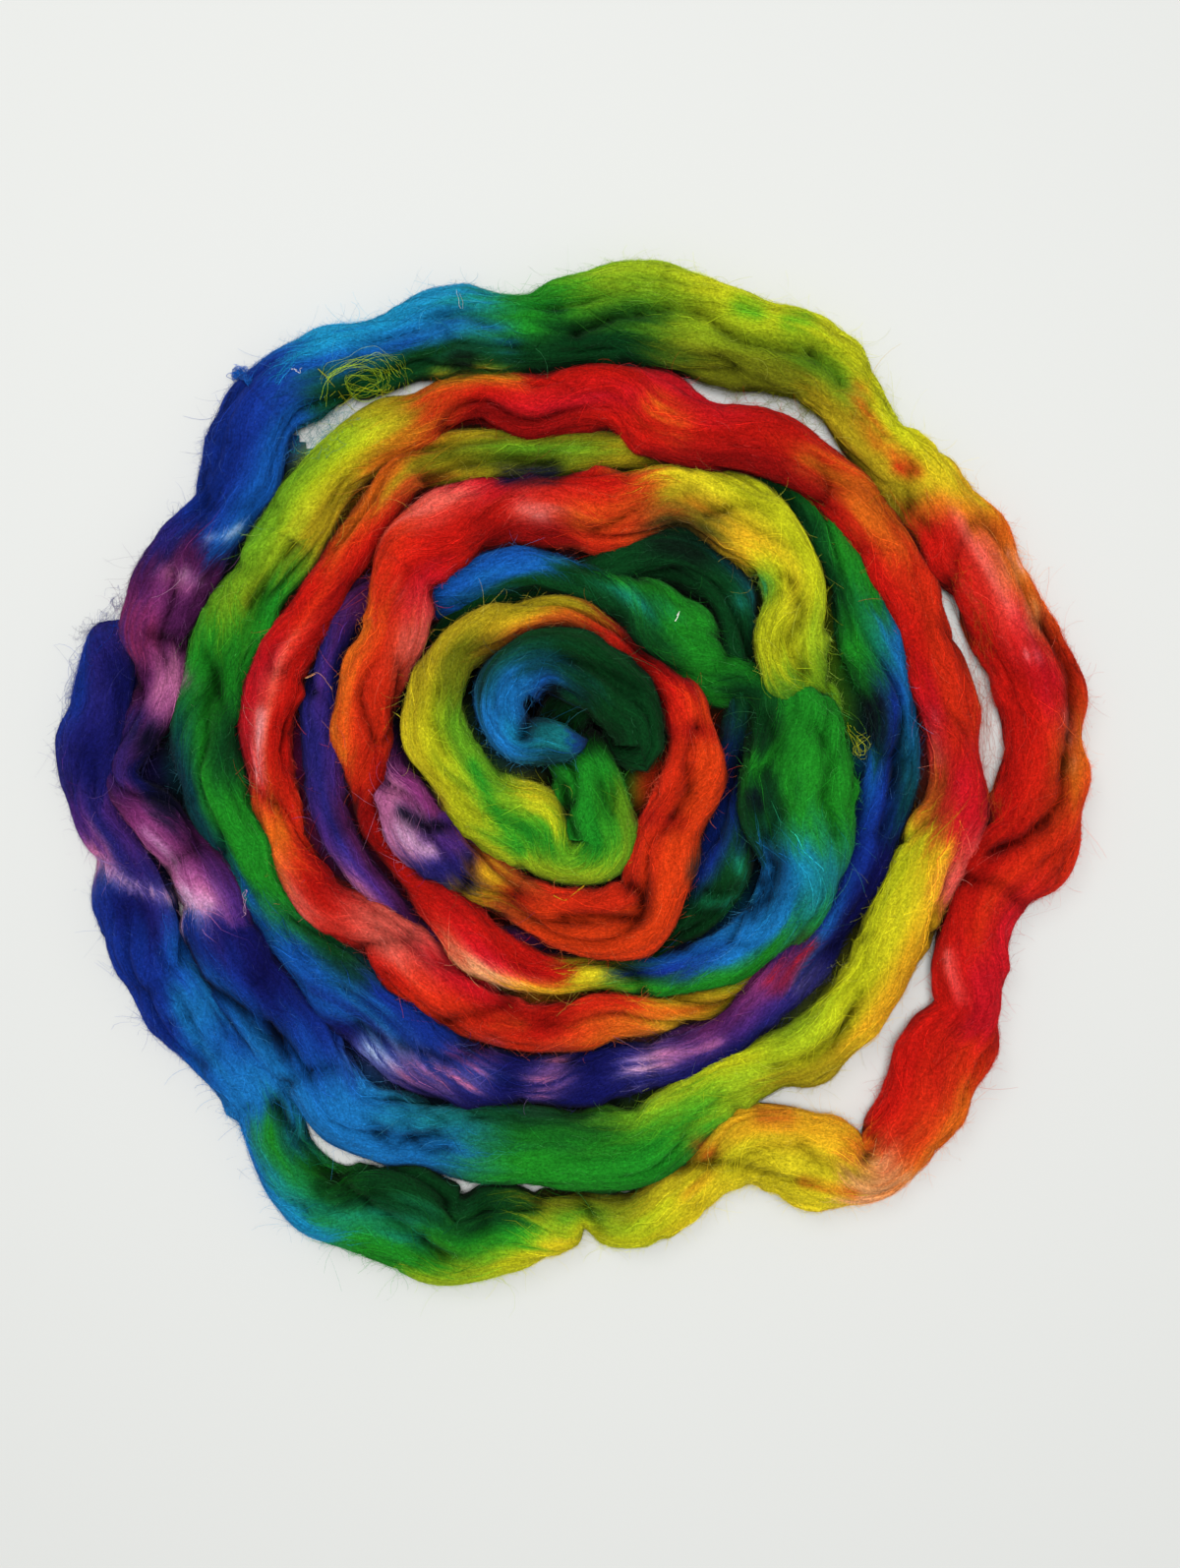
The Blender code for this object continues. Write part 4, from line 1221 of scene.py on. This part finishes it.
def wisp_path(wisp, middle, random):
    """One loose fibre along a wisp's line, over whatever wool is below it."""
    t = np.linspace(0.0, 1.0, WISP_STEPS)
    begin, end = 0.0, 1.0
    if wisp.count > WISP_ROVERS:
        begin, end = np.sort(random.uniform(*WISP_SPAN, 2))
    seen = np.clip(begin + (end - begin) * t, 0.0, 1.0)
    flat = np.stack([np.interp(seen, t, side) for side in middle.T], 1)
    flat += random.normal(0, 0.5 * wisp.stray, 2)
    for turns in WISP_WAVES:
        phase = random.uniform(0, 2 * np.pi, 2)
        flat += 0.5 * wisp.stray / turns * np.sin(turns * 2 * np.pi * t[:, None] + phase)
    path = np.column_stack([flat, np.zeros(WISP_STEPS)])
    level = random.uniform(*WISP_LEVELS)
    sway = WISP_SWAY * np.sin(t * (len(wisp.line) - 1) + random.uniform(0, 6))
    path[:, 2] = np.maximum(read_map(hollows[0], path), WISP_LOWEST) + wisp.rise * (level + sway)
    return path


def wisp_piece(name, material, random):
    """The loose fibres of the wisp table."""
    t = np.linspace(0.0, 1.0, WISP_STEPS)
    paths, widths, colours = [], [], []
    for wisp in WISPS:
        corners = np.arange(len(wisp.line))
        places = t * (len(wisp.line) - 1)
        middle = np.stack([np.interp(places, corners, side) for side in np.array(wisp.line, float).T], 1)
        for _ in range(WISP_SMOOTHINGS):
            middle[1:-1] = (middle[:-2] + 2 * middle[1:-1] + middle[2:]) / 4
        for _ in range(wisp.count):
            paths.append(wisp_path(wisp, middle, random))
            width = wisp.width * random.uniform(*WISP_WIDTHS)
            widths.append(width * np.linspace(1, WISP_TIP, WISP_STEPS))
            colour = linear(wisp.dye) * np.exp(random.normal(0, WISP_TONE))
            colours.append(np.tile(colour, (WISP_STEPS, 1)))
    paths, widths, colours = np.stack(paths), np.stack(widths), np.stack(colours)
    ahead = unit(np.gradient(paths, axis=1))
    across = unit(np.cross(ahead, np.array([0.0, 0.0, 1.0])))
    u = np.broadcast_to(np.linspace(WISP_MAP_EDGE, 1 - WISP_MAP_EDGE, WISP_STEPS), widths.shape)
    rows = np.linspace(WISP_MAP_EDGE, 1 - 2 * WISP_MAP_EDGE, len(paths))
    v = np.broadcast_to(rows[:, None], widths.shape)
    return ribbons(name, paths, across, widths, colours, np.stack([u, v], -1), material)


def set_inputs(node, values):
    """Fill in some inputs of a shader node by name."""
    for name, value in values.items():
        node.inputs[name].default_value = value
    return node


def wool_material(name, roughness, sheen, relief_depth):
    """Matt wool that takes its colour, dye with painted light and shade, from the mesh, with streaks and
    fine relief along the fibres.
    """
    material = bpy.data.materials.new(name)
    material.use_nodes = True
    nodes, links = material.node_tree.nodes, material.node_tree.links
    surface = {"Roughness": roughness, "Specular IOR Level": 0.02}
    surface.update({"Sheen Weight": sheen, "Sheen Roughness": 0.5})
    shader = set_inputs(nodes["Principled BSDF"], surface)
    dye_light_and_shade = nodes.new("ShaderNodeVertexColor")
    dye_light_and_shade.layer_name = "dye"
    placed = nodes.new("ShaderNodeTexCoord")
    grit = {"Scale": 850.0, "Detail": 4.0, "Roughness": 0.7}
    flecks = set_inputs(nodes.new("ShaderNodeTexNoise"), grit)
    links.new(placed.outputs["Object"], flecks.inputs["Vector"])
    colour = dimmed(material, dye_light_and_shade.outputs["Color"], flecks.outputs["Fac"], 0.62, 1.38)
    if relief_depth:
        strand = nodes.new("ShaderNodeAttribute")
        strand.attribute_name = "strand"
        stretched = set_inputs(nodes.new("ShaderNodeMapping"), {"Scale": (0.30, 1.5, 1.0)})
        links.new(strand.outputs["Vector"], stretched.inputs["Vector"])
        lines = {"Scale": 1.0, "Detail": 5.0, "Roughness": 0.7, "Distortion": 0.8}
        streaks = set_inputs(nodes.new("ShaderNodeTexNoise"), lines)
        links.new(stretched.outputs["Vector"], streaks.inputs["Vector"])
        colour = dimmed(material, colour, streaks.outputs["Fac"], 0.65, 1.3)
        relief = {"Strength": 0.8, "Distance": relief_depth * MM}
        bump = set_inputs(nodes.new("ShaderNodeBump"), relief)
        links.new(streaks.outputs["Fac"], bump.inputs["Height"])
        links.new(bump.outputs["Normal"], shader.inputs["Normal"])
    links.new(colour, shader.inputs["Base Color"])
    return material


def dimmed(material, colour, pattern, least, most):
    """A colour made darker and lighter by a pattern, between two shares of itself."""
    nodes, links = material.node_tree.nodes, material.node_tree.links
    limits = {"From Min": 0.3, "From Max": 0.7, "To Min": least, "To Max": most}
    shades = set_inputs(nodes.new("ShaderNodeMapRange"), limits)
    links.new(pattern, shades.inputs["Value"])
    tinted = nodes.new("ShaderNodeVectorMath")
    tinted.operation = "SCALE"
    links.new(colour, tinted.inputs[0])
    links.new(shades.outputs["Result"], tinted.inputs["Scale"])
    return tinted.outputs["Vector"]


def stage():
    """A plain pale floor, soft light from above and the camera straight above."""
    bpy.ops.mesh.primitive_plane_add(size=FLOOR_SIZE, location=(0.0, 0.0, 0.0))
    floor = bpy.context.object
    floor.name = "floor"
    paper = bpy.data.materials.new("pale_floor")
    paper.use_nodes = True
    matt = {"Base Color": FLOOR_COLOUR, "Roughness": 0.9}
    set_inputs(paper.node_tree.nodes["Principled BSDF"], matt)
    floor.data.materials.append(paper)
    scene = bpy.context.scene
    scene.world = bpy.data.worlds.new("soft_room")
    scene.world.use_nodes = True
    white = {"Color": (1.0, 1.0, 1.0, 1.0), "Strength": ROOM_LIGHT}
    set_inputs(scene.world.node_tree.nodes["Background"], white)
    for lamp in LAMPS:
        light = bpy.data.lights.new(lamp.name, "AREA")
        light.shape = "DISK"
        light.size = lamp.size
        light.energy = lamp.power
        holder = bpy.data.objects.new(lamp.name, light)
        holder.location = lamp.place
        holder.rotation_euler = (-Vector(lamp.place)).to_track_quat("-Z", "Y").to_euler()
        holder.visible_camera = False
        scene.collection.objects.link(holder)
    camera = bpy.data.objects.new("camera", bpy.data.cameras.new("camera"))
    camera.data.sensor_width = SENSOR
    camera.data.lens = LENS
    camera.location = CAMERA_PLACE
    scene.collection.objects.link(camera)
    scene.camera = camera
    scene.view_settings.view_transform = "Standard"


def build():
    """Dress the whole strand, one stretch after another."""
    skin_wool = wool_material("dyed_wool_skin", roughness=0.95, sheen=0.02, relief_depth=0.9)
    fibre_wool = wool_material("dyed_wool_fibres", roughness=0.9, sheen=0.02, relief_depth=0.0)
    hair_wool = wool_material("dyed_wool_hairs", roughness=0.9, sheen=0.05, relief_depth=0.0)
    random = np.random.default_rng(RANDOM_SEED)
    for i, stretch in enumerate(STRETCHES):
        start = np.interp(firsts[i], route[:, 5], travelled)
        end = np.interp(min(firsts[i + 1], len(stations) - 1), route[:, 5], travelled)
        skin_piece(f"{stretch.name}_skin", start, end, skin_wool)
        fibre_piece(f"{stretch.name}_fibres", start, end, fibre_wool, random)
        for hairs in HAIRS:
            hair_piece(f"{stretch.name}_{hairs.kind}_hairs", start, end, hairs, hair_wool, random)
    bed_piece("under_wool", fibre_wool)
    wisp_piece("loose_wisps", hair_wool, random)


stage()
build()
